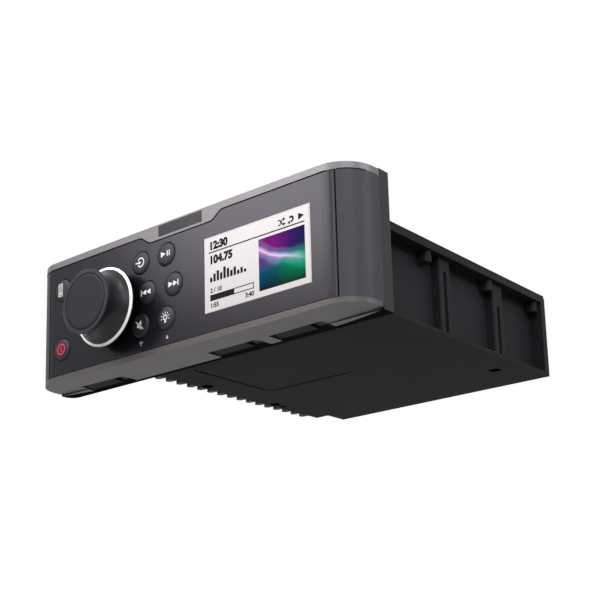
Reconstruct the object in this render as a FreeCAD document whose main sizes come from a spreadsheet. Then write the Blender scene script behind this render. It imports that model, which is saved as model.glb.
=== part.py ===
"""Marine stereo: a flush chassis with a finned side, and a front door that swings out on pins.

Frame: +X to the right seen from the front, +Y to the back, +Z up, millimetres.
The rules below measure Y from the back face of the mounting flange. Every piece is then
moved along Y by row_shift, so that the origin is at the bottom centre of the whole stereo.
"""

import FreeCAD, Part
import Sketcher
import math
import os
import re

SIZES = {
    # front panel
    "panel_width": 201,
    "panel_height": 62.4,
    "front_depth": 26.6,
    "flange_thickness": 7.3,
    "end_radius": 16,
    "moulding_wall": 2,
    # bright trims above and below the door
    "trim_thickness": 1.6,
    "crown_start": 30,
    "crown_rise": 0.9,
    "crown_drop": 0.5,
    "lip_height_top": 3.5,
    "lip_height_bottom": 3.1,
    "trim_tongue": 4.7,
    "tongue_length": 40.5,
    "tongue_end": 1.5,
    "dip_radius": 3,
    "dip_centre": 2.7,
    "dip_width": 39,
    "dip_slope": 5.6,
    "dip_height": 4,
    "nameplate_width": 27.5,
    "nameplate_height": 5.4,
    "nameplate_drop": 0.7,
    "nameplate_seat": 0.5,
    "nameplate_proud": 0.15,
    "nameplate_corner": 0.8,
    "release_slot_width": 30,
    "release_slot_depth": 9.6,
    "release_inset_left": 35.2,
    "release_inset_middle": 80,
    "release_inset_right": 43.5,
    "release_slot_cut": 1.5,
    "release_block_width": 21.5,
    "release_block_depth": 7.4,
    "release_block_height": 1.2,
    "release_block_lean": 2.5,
    "release_block_gap": 0.5,
    # door and hinge
    "door_inset_left": 13.2,
    "door_inset_right": 9.7,
    "door_thickness": 14,
    "door_wall": 2.2,
    "notch_wall": 1.4,
    "door_gap": 0.3,
    "door_latch_gap": 0.8,
    "hinge_gap": 0.35,
    "hinge_radius": 3.2,
    "hinge_pin_radius": 0.8,
    "hinge_pin_grip": 7,
    "rail_thickness": 1.4,
    "running_fit": 0.05,
    "seat_gap": 0.1,
    "side_gap": 0.2,
    "back_plate_thickness": 1.8,
    "catch_radius": 3,
    "catch_inset": 6.8,
    "catch_drop": 3.2,
    "catch_spacing": 10,
    "catch_plate_thickness": 0.9,
    # display
    "display_inset": 42.8,
    "display_drop": 1.4,
    "display_width": 60.7,
    "display_height": 35.3,
    "module_border": 1.6,
    "module_corner": 1,
    # controls
    "button_radius": 5.65,
    "button_proud": 0.8,
    "button_travel": 0.6,
    "button_edge": 0.6,
    "button_rim": 0.4,
    "button_flange": 0.75,
    "button_flange_thickness": 0.8,
    "button_stem_radius": 2,
    "button_stem_length": 1.1,
    "source_x": -22.5,
    "play_x": -5.8,
    "previous_x": -18.2,
    "next_x": -1.2,
    "mute_x": -22.8,
    "lamp_x": -6.1,
    "end_button_inset": 9.7,
    "row_margin": 15.9,
    "row_drop": 0.2,
    "switch_side": 6,
    "switch_height": 2.9,
    "actuator_length": 1,
    "board_thickness": 1.6,
    "board_edge": 1,
    "knob_x": -39.4,
    "knob_drop": 4.2,
    "knob_length": 20,
    "knob_press": 0.6,
    "knob_clearance": 2,
    "collar_radius": 17,
    "collar_thickness": 1,
    "knob_foot_radius": 13.5,
    "knob_foot_length": 3.8,
    "knob_foot_wall": 5,
    "knob_web": 1,
    "shaft_grip": 2.1,
    "ring_radius": 19.05,
    "ring_seat_radius": 17.2,
    "ring_thickness": 2.4,
    "ring_edge_rear": 0.6,
    "ring_bevel_rear": 0.8,
    "ring_edge_front": 0.5,
    "knob_waist_radius": 14.2,
    "knob_lip_radius": 15.5,
    "knob_lip_height": 2,
    "knob_lip_step": 0.5,
    "cap_radius": 12.9,
    "cap_thickness": 1.7,
    "cap_groove": 0.7,
    "cap_edge": 0.4,
    "cap_rim": 1,
    "cap_dish": 0.5,
    "shaft_radius": 3,
    "shaft_chamfer": 0.4,
    "bushing_radius": 4.5,
    "bushing_length": 3.4,
    "plunger_length": 0.9,
    "encoder_side": 13,
    "post_radius": 2.5,
    "post_clearance": 1.2,
    "post_offset": 0.7,
    "post_neck_radius": 2,
    "post_setback": 2.2,
    "screw_radius": 1.1,
    "screw_head_radius": 1.9,
    "screw_head_height": 1,
    # chassis
    "chassis_depth": 136.5,
    "chassis_height": 42,
    "chassis_width": 137.2,
    "chassis_inset": 1.3,
    "rear_corner_width": 8,
    "rear_corner_depth": 14,
    "plate_thickness": 1.6,
    "lid_thickness": 1.4,
    "lid_setback": 0.4,
    "side_recess": 6.5,
    "side_wall": 2,
    "side_flange_height": 2.8,
    "rib_inset": 2.2,
    "rib_corner": 0.8,
    "rib_a_start": 42.2,
    "rib_a_width": 8.8,
    "rib_b_start": 88.6,
    "rib_b_width": 9,
    "rib_slot_width": 2.5,
    "rib_slot_setback": 3.2,
    "rib_slot_depth": 3,
    "rib_slot_a_top": 31.2,
    "rib_slot_b_top": 26.3,
    "boss_width": 4.6,
    "boss_drop": 5.4,
    "boss_first_y": 33.3,
    "boss_second_y": 85.6,
    "boss_rear_margin": 6.9,
    "rear_post_depth": 4,
    "fin_count": 16,
    "fin_first_y": 6.4,
    "fin_rear_margin": 4.35,
    "fin_length": 8.6,
    "fin_thickness": 4.6,
    "fin_tip": 3.8,
    "sink_wall": 6,
    "corner_wall": 2.5,
    "underside_recess": 0.5,
    "recess_line_width": 0.6,
    "recess_margin_left": 19.2,
    "recess_margin_right": 65.2,
    "recess_front_y": 4,
    "recess_back_y": 60,
    "recess_corner": 6,
    "base_screw_inset": 3.5,
    "base_screw_front_y": 30.3,
    "base_screw_back_y": 82.7,
    "locating_hole_y": 89.5,
    "locating_hole_radius": 1.8,
    "foot_inset": 14,
    "foot_rear_margin": 29.5,
    "foot_reach": 3.5,
    "foot_half_depth": 4,
    "case_screw_head": 2.4,
    "case_screw_length": 4.2,
    "lid_screw_inset": 3.2,
    "lid_screw_front_y": 24,
    "lid_screw_margin": 14.5,
    "rear_panel_thickness": 2,
    "corner_block": 5,
    "corner_block_depth": 6,
    "head_sink": 0.1,
    # media bay behind the door
    "bay_lift": 1,
    "bay_width": 92,
    "bay_height": 27,
    "bay_depth": 66,
    "bay_wall": 1.6,
    "seal_width": 2.4,
    "seal_inset": 0.8,
    "bay_socket_width": 15,
    "bay_socket_height": 8,
    "bay_socket_depth": 9,
    "bay_socket_reach": 4,
    "bay_socket_shell": 0.8,
    "bay_tongue": 1.6,
    "bay_tongue_drop": 1,
    # fixings
    "panel_hole_radius": 2.25,
    "panel_hole_inset": 19.5,
    "panel_hole_drop": 9.4,
    "panel_hole_low_z": 9,
    "flange_screw_low_z": 9,
    "flange_screw_drop": 8,
    "flange_screw_inset": 3.5,
    "flange_boss_width": 7,
    "flange_screw_tip": 0.5,
    "flange_corner": 0.6,
    "flange_round": 5,
    "flange_screw_radius": 1.4,
    "flange_screw_head": 2.5,
    "flange_screw_head_height": 2,
    "flange_screw_reach": 8,
    "stud_hole_radius": 2.5,
    "stud_hole_depth": 9,
    "stud_boss_radius": 5,
    "stud_floor": 2,
    "stud_offset": 42,
    "stud_drop": 9,
    "foam_width": 3,
    "foam_thickness": 1.5,
    "foam_inset": 2,
    "foam_side_inset": 5.4,
    # inside
    "board_z": 6,
    "board_setback": 6,
    "board_margin": 10,
    "board_gap": 2,
    "pillar_radius": 3,
    "pillar_inset": 8,
    "pillar_margin": 5,
    "chip_width": 14,
    "chip_height": 18,
    "chip_thickness": 4.8,
    "can_radius": 8,
    "can_height": 28,
    "can_offset": 46,
    "can_pitch": 17.5,
    "can_setback": 16,
    "coil_radius": 10,
    "coil_hole_radius": 4.5,
    "coil_height": 9,
    "coil_edge": 1.5,
    "coil_offset": 26,
    "coil_rear_margin": 24.5,
    "tuner_width": 34,
    "tuner_depth": 26,
    "tuner_height": 9,
    "tuner_inset": 30,
    "tuner_rear_margin": 26.5,
    # rear sockets
    "socket_length": 8,
    "socket_drop": 4,
    "socket_seat": 6,
    "plug_width": 26,
    "plug_height": 12,
    "plug_wall": 1.6,
    "plug_floor": 3,
    "pin_side": 1.2,
    "pin_pitch": 5,
    "pin_length": 3,
    "jack_pitch": 11,
    "jack_drop": 9,
    "jack_lift": 4,
    "jack_radius": 4.1,
    "jack_bore_radius": 1.6,
    "jack_bore_depth": 7,
    "jack_plate_border": 6,
    "usb_width": 13.2,
    "usb_height": 5.8,
    "usb_wall": 0.6,
    "usb_tongue": 1.6,
    "usb_depth": 8,
    "usb_floor": 1,
    "usb_drop": 9,
    "network_lift": 1,
    "network_radius": 6,
    "network_flange": 1.5,
    "network_seat": 4,
    "network_bore_radius": 4.4,
    "network_bore_depth": 7,
}

# places that follow from the sizes: each is a rule, and stands for a name in other rules
PLACES = {
    "door_left": "(door_inset_left - panel_width / 2)",
    "door_right": "(panel_width / 2 - door_inset_right)",
    "tongue_start": "(panel_width / 2 - tongue_length)",
    "release_slot_left": "(release_inset_left - panel_width / 2)",
    "release_slot_middle": "(panel_width / 2 - release_inset_middle)",
    "release_slot_right": "(panel_width / 2 - release_inset_right)",
    "catch_x": "(door_left + catch_inset)",
    "catch_low_z": "(panel_height / 2 - catch_drop)",
    "catch_high_z": "(catch_low_z + catch_spacing)",
    "display_x": "(door_right - display_inset)",
    "display_z": "(panel_height / 2 - display_drop)",
    "end_button_x": "(door_left + end_button_inset)",
    "row_top_z": "(panel_height - row_margin)",
    "row_middle_z": "(panel_height / 2 - row_drop)",
    "row_low_z": "row_margin",
    "knob_z": "(panel_height / 2 - knob_drop)",
    "panel_hole_x": "(panel_width / 2 - panel_hole_inset)",
    "panel_hole_top_z": "(panel_height - panel_hole_drop)",
    "chassis_right": "(panel_width / 2 - chassis_inset)",
    "chassis_left": "(chassis_right - chassis_width)",
    "rear_corner_x": "(chassis_left + rear_corner_width)",
    "rear_corner_y": "(chassis_depth - rear_corner_depth)",
    "side_outer": "(chassis_right - side_recess)",
    "side_inner": "(chassis_right - side_recess - side_wall)",
    "sink_inner": "(chassis_left + sink_wall)",
    "corner_inner": "(rear_corner_x + corner_wall)",
    "boss_third_y": "(chassis_depth - boss_rear_margin)",
    "fin_pitch": "((rear_corner_y - fin_rear_margin - fin_first_y) / (fin_count - 1))",
    "recess_left_x": "(chassis_left + recess_margin_left)",
    "recess_right_x": "(chassis_right - recess_margin_right)",
    "base_screw_left_x": "(chassis_left + base_screw_inset)",
    "base_screw_right_x": "(chassis_right - foot_inset)",
    "base_screw_right_y": "(chassis_depth - foot_rear_margin)",
    "lid_screw_x": "(chassis_right - lid_screw_inset)",
    "lid_screw_back_y": "(rear_corner_y - lid_screw_margin)",
    "bay_x": "((sink_inner + side_inner - flange_boss_width) / 2)",
    "bay_z": "(chassis_height / 2 + bay_lift)",
    "flange_screw_high_z": "(chassis_height - flange_screw_drop)",
    "stud_x": "(chassis_left + stud_offset)",
    "stud_z": "(chassis_height - stud_drop)",
    "board_front_y": "(bay_depth + board_setback)",
    "board_back_y": "(chassis_depth - rear_panel_thickness - board_margin)",
    "sink_back_y": "(rear_corner_y - sink_wall)",
    "chip_first_y": "(board_front_y + (sink_back_y - board_front_y) / 4)",
    "chip_second_y": "(sink_back_y - (sink_back_y - board_front_y) / 4)",
    "can_first_x": "(chassis_left + can_offset)",
    "can_y": "(board_front_y + can_setback)",
    "coil_x": "(chassis_left + coil_offset)",
    "coil_y": "(chassis_depth - coil_rear_margin)",
    "tuner_x": "(chassis_right - tuner_inset)",
    "tuner_y": "(chassis_depth - tuner_rear_margin)",
    "plug_side": "(plug_width + 2 * plug_wall)",
    "jack_side": "(jack_pitch + 2 * jack_plate_border)",
    "network_side": "(2 * network_radius + 2 * network_flange)",
    "socket_space": "(side_inner - corner_inner - 2 * plug_side - jack_side - network_side)",
    "socket_step": "(socket_space / 5)",
    "power_x": "(corner_inner + socket_step + plug_side / 2)",
    "speaker_x": "(power_x + socket_step + plug_side)",
    "jack_first_x": "(speaker_x + socket_step + plug_side / 2 + jack_plate_border)",
    "network_x": "(side_inner - socket_step - network_side / 2)",
    "usb_x": "speaker_x",
    "usb_z": "(chassis_height - usb_drop)",
    "socket_z": "(chassis_height / 2 - socket_drop)",
    "jack_low_z": "(chassis_height / 2 - jack_drop)",
    "jack_high_z": "(chassis_height / 2 + jack_lift)",
    "network_z": "(chassis_height / 2 + network_lift)",
}

# short names for rules that many pieces share
HALF = "panel_width / 2"
FRONT = "-front_depth"
FLANGE_FRONT = "-flange_thickness"
TRIM_TOP = "(panel_height - trim_thickness)"
LIP_TOP = "(panel_height - lip_height_top)"
RAIL_TOP = "(panel_height - trim_thickness - rail_thickness)"
RAIL_LOW = "(trim_thickness + rail_thickness)"
RECESS_LEFT = "(door_left - door_latch_gap)"
RECESS_RIGHT = "(door_right + hinge_gap)"
DOOR_LOW = "(lip_height_bottom + door_gap)"
DOOR_TOP = "(panel_height - lip_height_top - door_gap)"
DOOR_BACK = "(door_thickness - front_depth)"
DOOR_INNER = "(door_wall - front_depth)"
HINGE_X = "(door_right - hinge_radius)"
ARC_X = f"({HALF} - end_radius)"
ARC_Y = "(end_radius - front_depth)"
HINGE_Y = f"({ARC_Y} - sqrt((end_radius - hinge_radius)^2 - ({HINGE_X} - {ARC_X})^2))"
BACK_PLATE_FRONT = "(door_thickness - front_depth - side_gap - back_plate_thickness)"
BUTTON_FLANGE_BACK = "(door_wall - front_depth + seat_gap + button_flange_thickness)"
SWITCH_TOP = f"({BUTTON_FLANGE_BACK} + button_stem_length + button_travel + seat_gap)"
BOARD_FRONT = f"({SWITCH_TOP} + switch_height)"
BOARD_BACK = f"({BOARD_FRONT} + board_thickness)"
KNOB_REAR = "(-front_depth - knob_clearance)"
KNOB_FACE = "(-front_depth - knob_length)"
RING_REAR = f"({KNOB_REAR} - knob_foot_length)"
SHAFT_REAR = f"({BOARD_FRONT} - knob_press - seat_gap - plunger_length)"
LID_LOW = "(chassis_height - lid_thickness)"
SIDE_OUTER = "side_outer"
SIDE_INNER = "side_inner"
SINK_INNER = "sink_inner"
CORNER_INNER = "corner_inner"
REAR_FACE = "chassis_depth"
SHIFT = "(front_depth + knob_length - chassis_depth - socket_length) / 2"

document = FreeCAD.newDocument("MarineStereo")
sheet = document.addObject("Spreadsheet::Sheet", "Sizes")
nodes = []


def fill_sheet():
    """One row per driving dimension: its name in column A, its value and alias in column B."""
    for row, (name, value) in enumerate(SIZES.items(), start=1):
        sheet.set(f"A{row}", name)
        sheet.set(f"B{row}", str(value))
        sheet.setAlias(f"B{row}", name)
    document.recompute()


def rule(text):
    """A rule, such as panel_width / 2, as a bound expression in the sheet's own names."""
    names = r"\b[a-z_]{4,}\b(?!\()"
    before, text = "", str(text)
    while text != before:
        before = text
        text = re.sub(names, lambda word: PLACES.get(word.group(0), word.group(0)), before)
    return re.sub(names, lambda word: "Sizes." + word.group(0), text)


def amount(text):
    """The present value of a rule."""
    return float(sheet.evalExpression(rule(text)))


def fresh(kind, name):
    return document.addObject(kind, name)


def register(item, name, x="0", z="0"):
    """Name a finished piece and place it in the frame of the whole stereo."""
    item.Label = name
    item.setExpression(".Placement.Base.x", rule(x))
    item.setExpression(".Placement.Base.y", rule(SHIFT))
    item.setExpression(".Placement.Base.z", rule(z))
    nodes.append(item)
    return item


# Sketches lie on the body's own planes. Each plane has a name, the sense of its normal
# along the axis it faces, and the two model axes that its sketches draw in.
PLANES = {"XY": ("XY_Plane", 1), "XZ": ("XZ_Plane", -1), "YZ": ("YZ_Plane", 1)}


def new_body(name):
    return fresh("PartDesign::Body", name)


def new_sketch(body, plane, level):
    role, sense = PLANES[plane]
    sketch = body.newObject("Sketcher::SketchObject", body.Name + "Sketch")
    support = [item for item in body.Origin.OriginFeatures if item.Role == role][0]
    sketch.AttachmentSupport = (support, "")
    sketch.MapMode = "FlatFace"
    sketch.setExpression(".AttachmentOffset.Base.z", rule(f"{sense} * ({level})"))
    return sketch


def pin_point(sketch, item, place, x, y):
    """Hold one point of the sketch at two rules."""
    for kind, text in (("DistanceX", x), ("DistanceY", y)):
        if text is not None:
            held = Sketcher.Constraint(kind, -1, 1, item, place, amount(text))
            number = sketch.addConstraint(held)
            sketch.setExpression(f"Constraints[{number}]", rule(text))


def draw_outline(sketch, corners):
    """A closed outline. Each corner is (x, y), or (x, y, centre x) where an arc starts."""
    count = len(corners)
    first = sketch.GeometryCount
    ends = []
    for index, corner in enumerate(corners):
        after = corners[(index + 1) % count]
        start = FreeCAD.Vector(amount(corner[0]), amount(corner[1]), 0)
        end = FreeCAD.Vector(amount(after[0]), amount(after[1]), 0)
        if len(corner) == 2:
            number = sketch.addGeometry(Part.LineSegment(start, end), False)
            ends.append((number, 1, 2))
            continue
        curve, forward = corner_arc(start, end, amount(corner[2]))
        number = sketch.addGeometry(curve, False)
        ends.append((number, 1, 2) if forward else (number, 2, 1))
    for index, (number, _, last) in enumerate(ends):
        follower, beginning, _ = ends[(index + 1) % count]
        sketch.addConstraint(Sketcher.Constraint("Coincident", number, last, follower, beginning))
    for index, (number, beginning, _) in enumerate(ends):
        pin_point(sketch, number, beginning, corners[index][0], corners[index][1])
        if len(corners[index]) == 3:
            pin_point(sketch, number, 3, corners[index][2], None)
    return first


def corner_arc(start, end, centre_x):
    """The shorter arc from start to end whose centre lies at centre_x."""
    middle = (start + end) * 0.5
    chord = end - start
    lean = FreeCAD.Vector(-chord.y, chord.x, 0)
    share = (centre_x - middle.x) / lean.x if abs(lean.x) > 1e-9 else 0
    centre = middle + lean * share
    radius = (start - centre).Length
    side = (start - centre).cross(end - centre).z
    circle = Part.Circle(centre, FreeCAD.Vector(0, 0, 1), radius)
    low, high = (start, end) if side > 0 else (end, start)
    first = math.atan2(low.y - centre.y, low.x - centre.x)
    last = math.atan2(high.y - centre.y, high.x - centre.x)
    return Part.ArcOfCircle(circle, first, last if last > first else last + 2 * math.pi), side > 0


def draw_circle(sketch, x, y, radius):
    centre = FreeCAD.Vector(amount(x), amount(y), 0)
    number = sketch.addGeometry(Part.Circle(centre, FreeCAD.Vector(0, 0, 1), amount(radius)), False)
    pin_point(sketch, number, 3, x, y)
    held = sketch.addConstraint(Sketcher.Constraint("Radius", number, amount(radius)))
    sketch.setExpression(f"Constraints[{held}]", rule(radius))


def rectangle(x_low, x_high, y_low, y_high):
    return [(x_low, y_low), (x_high, y_low), (x_high, y_high), (x_low, y_high)]


def grow(body, kind, plane, low, high, outlines=(), circles=()):
    """Pad or pocket the outlines and circles between two levels along the plane's axis."""
    sense = PLANES[plane][1]
    sketch = new_sketch(body, plane, low)
    for corners in outlines:
        draw_outline(sketch, corners)
    for x, y, radius in circles:
        draw_circle(sketch, x, y, radius)
    feature = body.newObject("PartDesign::" + kind, body.Name + kind)
    feature.Profile = sketch
    feature.setExpression("Length", rule(f"({high}) - ({low})"))
    feature.Reversed = (sense < 0) if kind == "Pad" else (sense > 0)
    document.recompute()
    return feature


def pad(body, plane, low, high, outlines=(), circles=()):
    return grow(body, "Pad", plane, low, high, outlines, circles)


def pocket(body, plane, low, high, outlines=(), circles=()):
    before = body.Shape.Volume
    feature = grow(body, "Pocket", plane, low, high, outlines, circles)
    if body.Shape.Volume > before - 1e-6:
        raise RuntimeError(f"{body.Name}: a pocket removes nothing")
    return feature


def turn(body, corners, kind="Revolution"):
    """Revolve a half section about the Y axis of the body. Corners are (radius, y)."""
    sketch = new_sketch(body, "XY", "0")
    draw_outline(sketch, corners)
    feature = body.newObject("PartDesign::" + kind, body.Name + kind)
    feature.Profile = sketch
    feature.ReferenceAxis = (sketch, ["V_Axis"])
    feature.Angle = 360
    document.recompute()
    return feature


def round_edges(body, radius, choose, kind="Fillet"):
    """Fillet or chamfer those edges of the body for which choose(edge) holds."""
    base = body.Tip
    names = [f"Edge{number}" for number, edge in enumerate(base.Shape.Edges, start=1) if choose(edge)]
    if not names:
        raise RuntimeError(f"{body.Name}: no edge to round")
    feature = body.newObject("PartDesign::" + kind, body.Name + kind)
    feature.Base = (base, names)
    feature.setExpression("Radius" if kind == "Fillet" else "Size", rule(radius))
    document.recompute()
    return feature


def along(edge, axis):
    """Whether a straight edge runs along X, Y or Z."""
    spans = {"X": edge.BoundBox.XLength, "Y": edge.BoundBox.YLength, "Z": edge.BoundBox.ZLength}
    return spans.pop(axis) > 1e-6 and max(spans.values()) < 1e-6


def flat(edge, axis):
    """Whether an edge lies in one plane across X, Y or Z."""
    spans = {"X": edge.BoundBox.XLength, "Y": edge.BoundBox.YLength, "Z": edge.BoundBox.ZLength}
    return spans[axis] < 1e-4


def near(first, second):
    return abs(first - second) < 1e-4


def at_point(edge, x=None, y=None, z=None):
    """Whether the edge's middle has the given coordinates, each a rule."""
    middle = edge.BoundBox.Center
    wanted = ((middle.x, x), (middle.y, y), (middle.z, z))
    return all(text is None or near(value, amount(text)) for value, text in wanted)


def boss_row(points, radius):
    return [(x, z, radius) for x, z in points]


def front_outline(inset, back):
    """Plan of the front: straight across, with a quarter round at each end."""
    edge = f"({HALF} - ({inset}))"
    face = f"({FRONT} + ({inset}))"
    centre = f"({HALF} - end_radius)"
    return [
        (f"-{edge}", back),
        (f"-{edge}", f"{FRONT} + end_radius", f"-{centre}"),
        (f"-{centre}", face),
        (centre, face, centre),
        (edge, f"{FRONT} + end_radius"),
        (edge, back),
    ]


def outside_outline(side, edge, inset):
    """Plan of what lies in front of the rounded end, from the flat face out to an edge."""
    sign = "-" if side == "left" else ""
    centre = f"{sign}({ARC_X})"
    reach = f"({ARC_Y} - sqrt(max(0; (end_radius - ({inset}))^2 - (({edge}) - {ARC_X})^2)))"
    face = f"({FRONT} + ({inset}))"
    beyond = f"({FRONT} - 1)"
    return [
        (centre, face, centre),
        (f"{sign}({edge})", reach),
        (f"{sign}({edge})", beyond),
        (centre, beyond),
    ]


def crown_outline(low, high, bottom):
    """Front view of a strip whose outer edge bows slightly inward towards both ends."""
    lower_end = f"({low} + crown_rise)" if bottom else low
    upper_end = high if bottom else f"({high} - crown_drop)"
    if bottom:
        return [
            (f"-{HALF}", lower_end, "-crown_start"),
            ("-crown_start", low),
            ("crown_start", low, "crown_start"),
            (HALF, lower_end),
            (HALF, high),
            (f"-{HALF}", high),
        ]
    return [
        (f"-{HALF}", low),
        (HALF, low),
        (HALF, upper_end, "crown_start"),
        ("crown_start", high),
        ("-crown_start", high, "-crown_start"),
        (f"-{HALF}", upper_end),
    ]


def tongue_outline():
    """Plan of the rear edge of a trim: straight, then curving forward to the flange's face."""
    back = "(trim_tongue - flange_thickness)"
    end = f"({HALF} - tongue_end)"
    return [
        (end, FLANGE_FRONT, "tongue_start"),
        ("tongue_start", back),
        ("-tongue_start", back, "-tongue_start"),
        (f"-{end}", FLANGE_FRONT),
    ]


def dip_outline():
    """The part of the upper lip that reaches down round the name plate, as seen from the front."""
    low = f"({LIP_TOP} - dip_height)"
    inner = "(dip_width / 2)"
    outer = "(dip_width / 2 + dip_slope)"
    return [
        (f"dip_centre - {outer}", LIP_TOP),
        (f"dip_centre - {inner}", low),
        (f"dip_centre + {inner}", low),
        (f"dip_centre + {outer}", LIP_TOP),
    ]


def door_outline(inset):
    """Front view of the door, with the notch that clears the dip of the upper lip."""
    left = f"(door_left + ({inset}))"
    right = f"(door_right - ({inset}))"
    low = f"({DOOR_LOW} + ({inset}))"
    top = f"({DOOR_TOP} - ({inset}))"
    notch = f"({DOOR_TOP} - dip_height - ({inset}) * notch_wall / door_wall)"
    inner = f"(dip_width / 2 + door_gap + ({inset}))"
    outer = f"(dip_width / 2 + dip_slope + door_gap + ({inset}))"
    return [
        (left, low),
        (right, low),
        (right, top),
        (f"dip_centre + {outer}", top),
        (f"dip_centre + {inner}", notch),
        (f"dip_centre - {inner}", notch),
        (f"dip_centre - {outer}", top),
        (left, top),
    ]


BUTTONS = {
    "button_source": ("source_x", "row_top_z"),
    "button_play": ("play_x", "row_top_z"),
    "button_previous": ("previous_x", "row_middle_z"),
    "button_next": ("next_x", "row_middle_z"),
    "button_mute": ("mute_x", "row_low_z"),
    "button_lamp": ("lamp_x", "row_low_z"),
    "button_power": ("end_button_x", "row_low_z"),
    "button_open": ("end_button_x", "row_top_z"),
}

POST_LEFT = "door_left + door_wall + post_setback - seat_gap"
POST_MIDDLE = "dip_centre + post_offset"
POST_RIGHT = f"{HINGE_X} - post_radius - post_clearance"
POST_LOW = f"{DOOR_LOW} + door_wall + post_setback"
POST_HIGH = f"{DOOR_TOP} - door_wall - post_setback"

DOOR_POSTS = [
    (POST_LEFT, POST_LOW),
    (POST_LEFT, POST_HIGH),
    (POST_MIDDLE, POST_LOW),
    (POST_MIDDLE, f"{POST_HIGH} - dip_height"),
    (POST_RIGHT, POST_LOW),
    (POST_RIGHT, POST_HIGH),
]

FLANGE_SCREWS = [
    ("chassis_left + sink_wall / 2", "flange_screw_low_z"),
    ("chassis_left + sink_wall / 2", "flange_screw_high_z"),
    ("side_inner - flange_screw_inset", "flange_screw_low_z"),
    ("side_inner - flange_screw_inset", "flange_screw_high_z"),
]

PANEL_HOLES = [
    ("-panel_hole_x", "panel_hole_top_z"),
    ("panel_hole_x", "panel_hole_top_z"),
    ("-panel_hole_x", "panel_hole_low_z"),
]

BASE_SCREWS = [
    ("base_screw_left_x", "base_screw_front_y"),
    ("base_screw_left_x", "base_screw_back_y"),
    ("base_screw_right_x", "base_screw_right_y"),
]

LID_SCREWS = [
    ("base_screw_left_x", "lid_screw_front_y"),
    ("base_screw_left_x", "lid_screw_back_y"),
    ("lid_screw_x", "boss_first_y"),
    ("lid_screw_x", "boss_second_y"),
    ("lid_screw_x", "boss_third_y"),
]

REAR_SCREWS = [
    (f"{CORNER_INNER} + corner_block / 2", "plate_thickness + corner_block / 2"),
    (f"{SIDE_INNER} - corner_block / 2", "plate_thickness + corner_block / 2"),
    (f"{CORNER_INNER} + corner_block / 2", f"{LID_LOW} - corner_block / 2"),
    (f"{SIDE_INNER} - corner_block / 2", f"{LID_LOW} - corner_block / 2"),
]

JACKS = [
    ("jack_first_x", "jack_low_z"),
    ("jack_first_x", "jack_high_z"),
    ("jack_first_x + jack_pitch", "jack_low_z"),
    ("jack_first_x + jack_pitch", "jack_high_z"),
]

PLUGS = [("power_x", "socket_z"), ("speaker_x", "socket_z")]


def bay_rectangle(border):
    half_width = f"(bay_width / 2 + ({border}))"
    half_height = f"(bay_height / 2 + ({border}))"
    return rectangle(
        f"bay_x - {half_width}", f"bay_x + {half_width}",
        f"bay_z - {half_height}", f"bay_z + {half_height}",
    )


def centred(x, z, width, height):
    return rectangle(
        f"{x} - ({width}) / 2", f"{x} + ({width}) / 2",
        f"{z} - ({height}) / 2", f"{z} + ({height}) / 2",
    )


def make_flange():
    """Mounting flange: the plate that the panel's cut-out is closed with."""
    body = new_body("mount_flange")
    pad(body, "XZ", FLANGE_FRONT, "0", [rectangle(f"-{HALF}", HALF, "0", "panel_height")])
    pocket(body, "XZ", FLANGE_FRONT, "0", [bay_rectangle("0")])
    pocket(body, "XY", "0", "trim_thickness", [tongue_outline()])
    pocket(body, "XY", TRIM_TOP, "panel_height", [tongue_outline()])
    pocket(body, "XZ", FLANGE_FRONT, "0", circles=boss_row(PANEL_HOLES, "panel_hole_radius"))
    wide = boss_row(FLANGE_SCREWS, "flange_screw_head + side_gap")
    narrow = boss_row(FLANGE_SCREWS, "flange_screw_radius + side_gap")
    sunk = "(flange_screw_head_height + side_gap - flange_thickness)"
    pocket(body, "XZ", FLANGE_FRONT, sunk, circles=wide)
    pocket(body, "XZ", sunk, "0", circles=narrow)
    pocket(body, "XZ", "-foam_thickness", "0", [foam_outline()])
    for size, side in (("flange_corner", HALF), ("flange_round", f"-{HALF}")):
        round_edges(body, size, lambda edge: along(edge, "Z") and at_point(edge, side, "0"))
    register(body, "mount_flange")


def foam_outline():
    """Path of the foam seal: up the left of the chassis and along the top."""
    left = f"-({HALF} - foam_side_inset)"
    right = f"({HALF} - foam_inset)"
    top = "(panel_height - foam_inset)"
    return [
        (left, "foam_inset"),
        (f"{left} + foam_width", "foam_inset"),
        (f"{left} + foam_width", f"{top} - foam_width"),
        (right, f"{top} - foam_width"),
        (right, top),
        (left, top),
    ]


def make_foam():
    body = new_body("flange_foam")
    pad(body, "XZ", "-foam_thickness", "0", [foam_outline()])
    register(body, "flange_foam")


def end_hollow(side, edge):
    """Plan of the space inside a rounded end, one wall thick at the front and the sides."""
    sign = "-" if side == "left" else ""
    outer = f"({HALF} - moulding_wall)"
    reach = f"({ARC_Y} - sqrt((end_radius - moulding_wall)^2 - (({edge}) - {ARC_X})^2))"
    return [
        (f"{sign}{outer}", ARC_Y, f"{sign}{ARC_X}"),
        (f"{sign}({edge})", reach),
        (f"{sign}({edge})", FLANGE_FRONT),
        (f"{sign}{outer}", FLANGE_FRONT),
    ]


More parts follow.
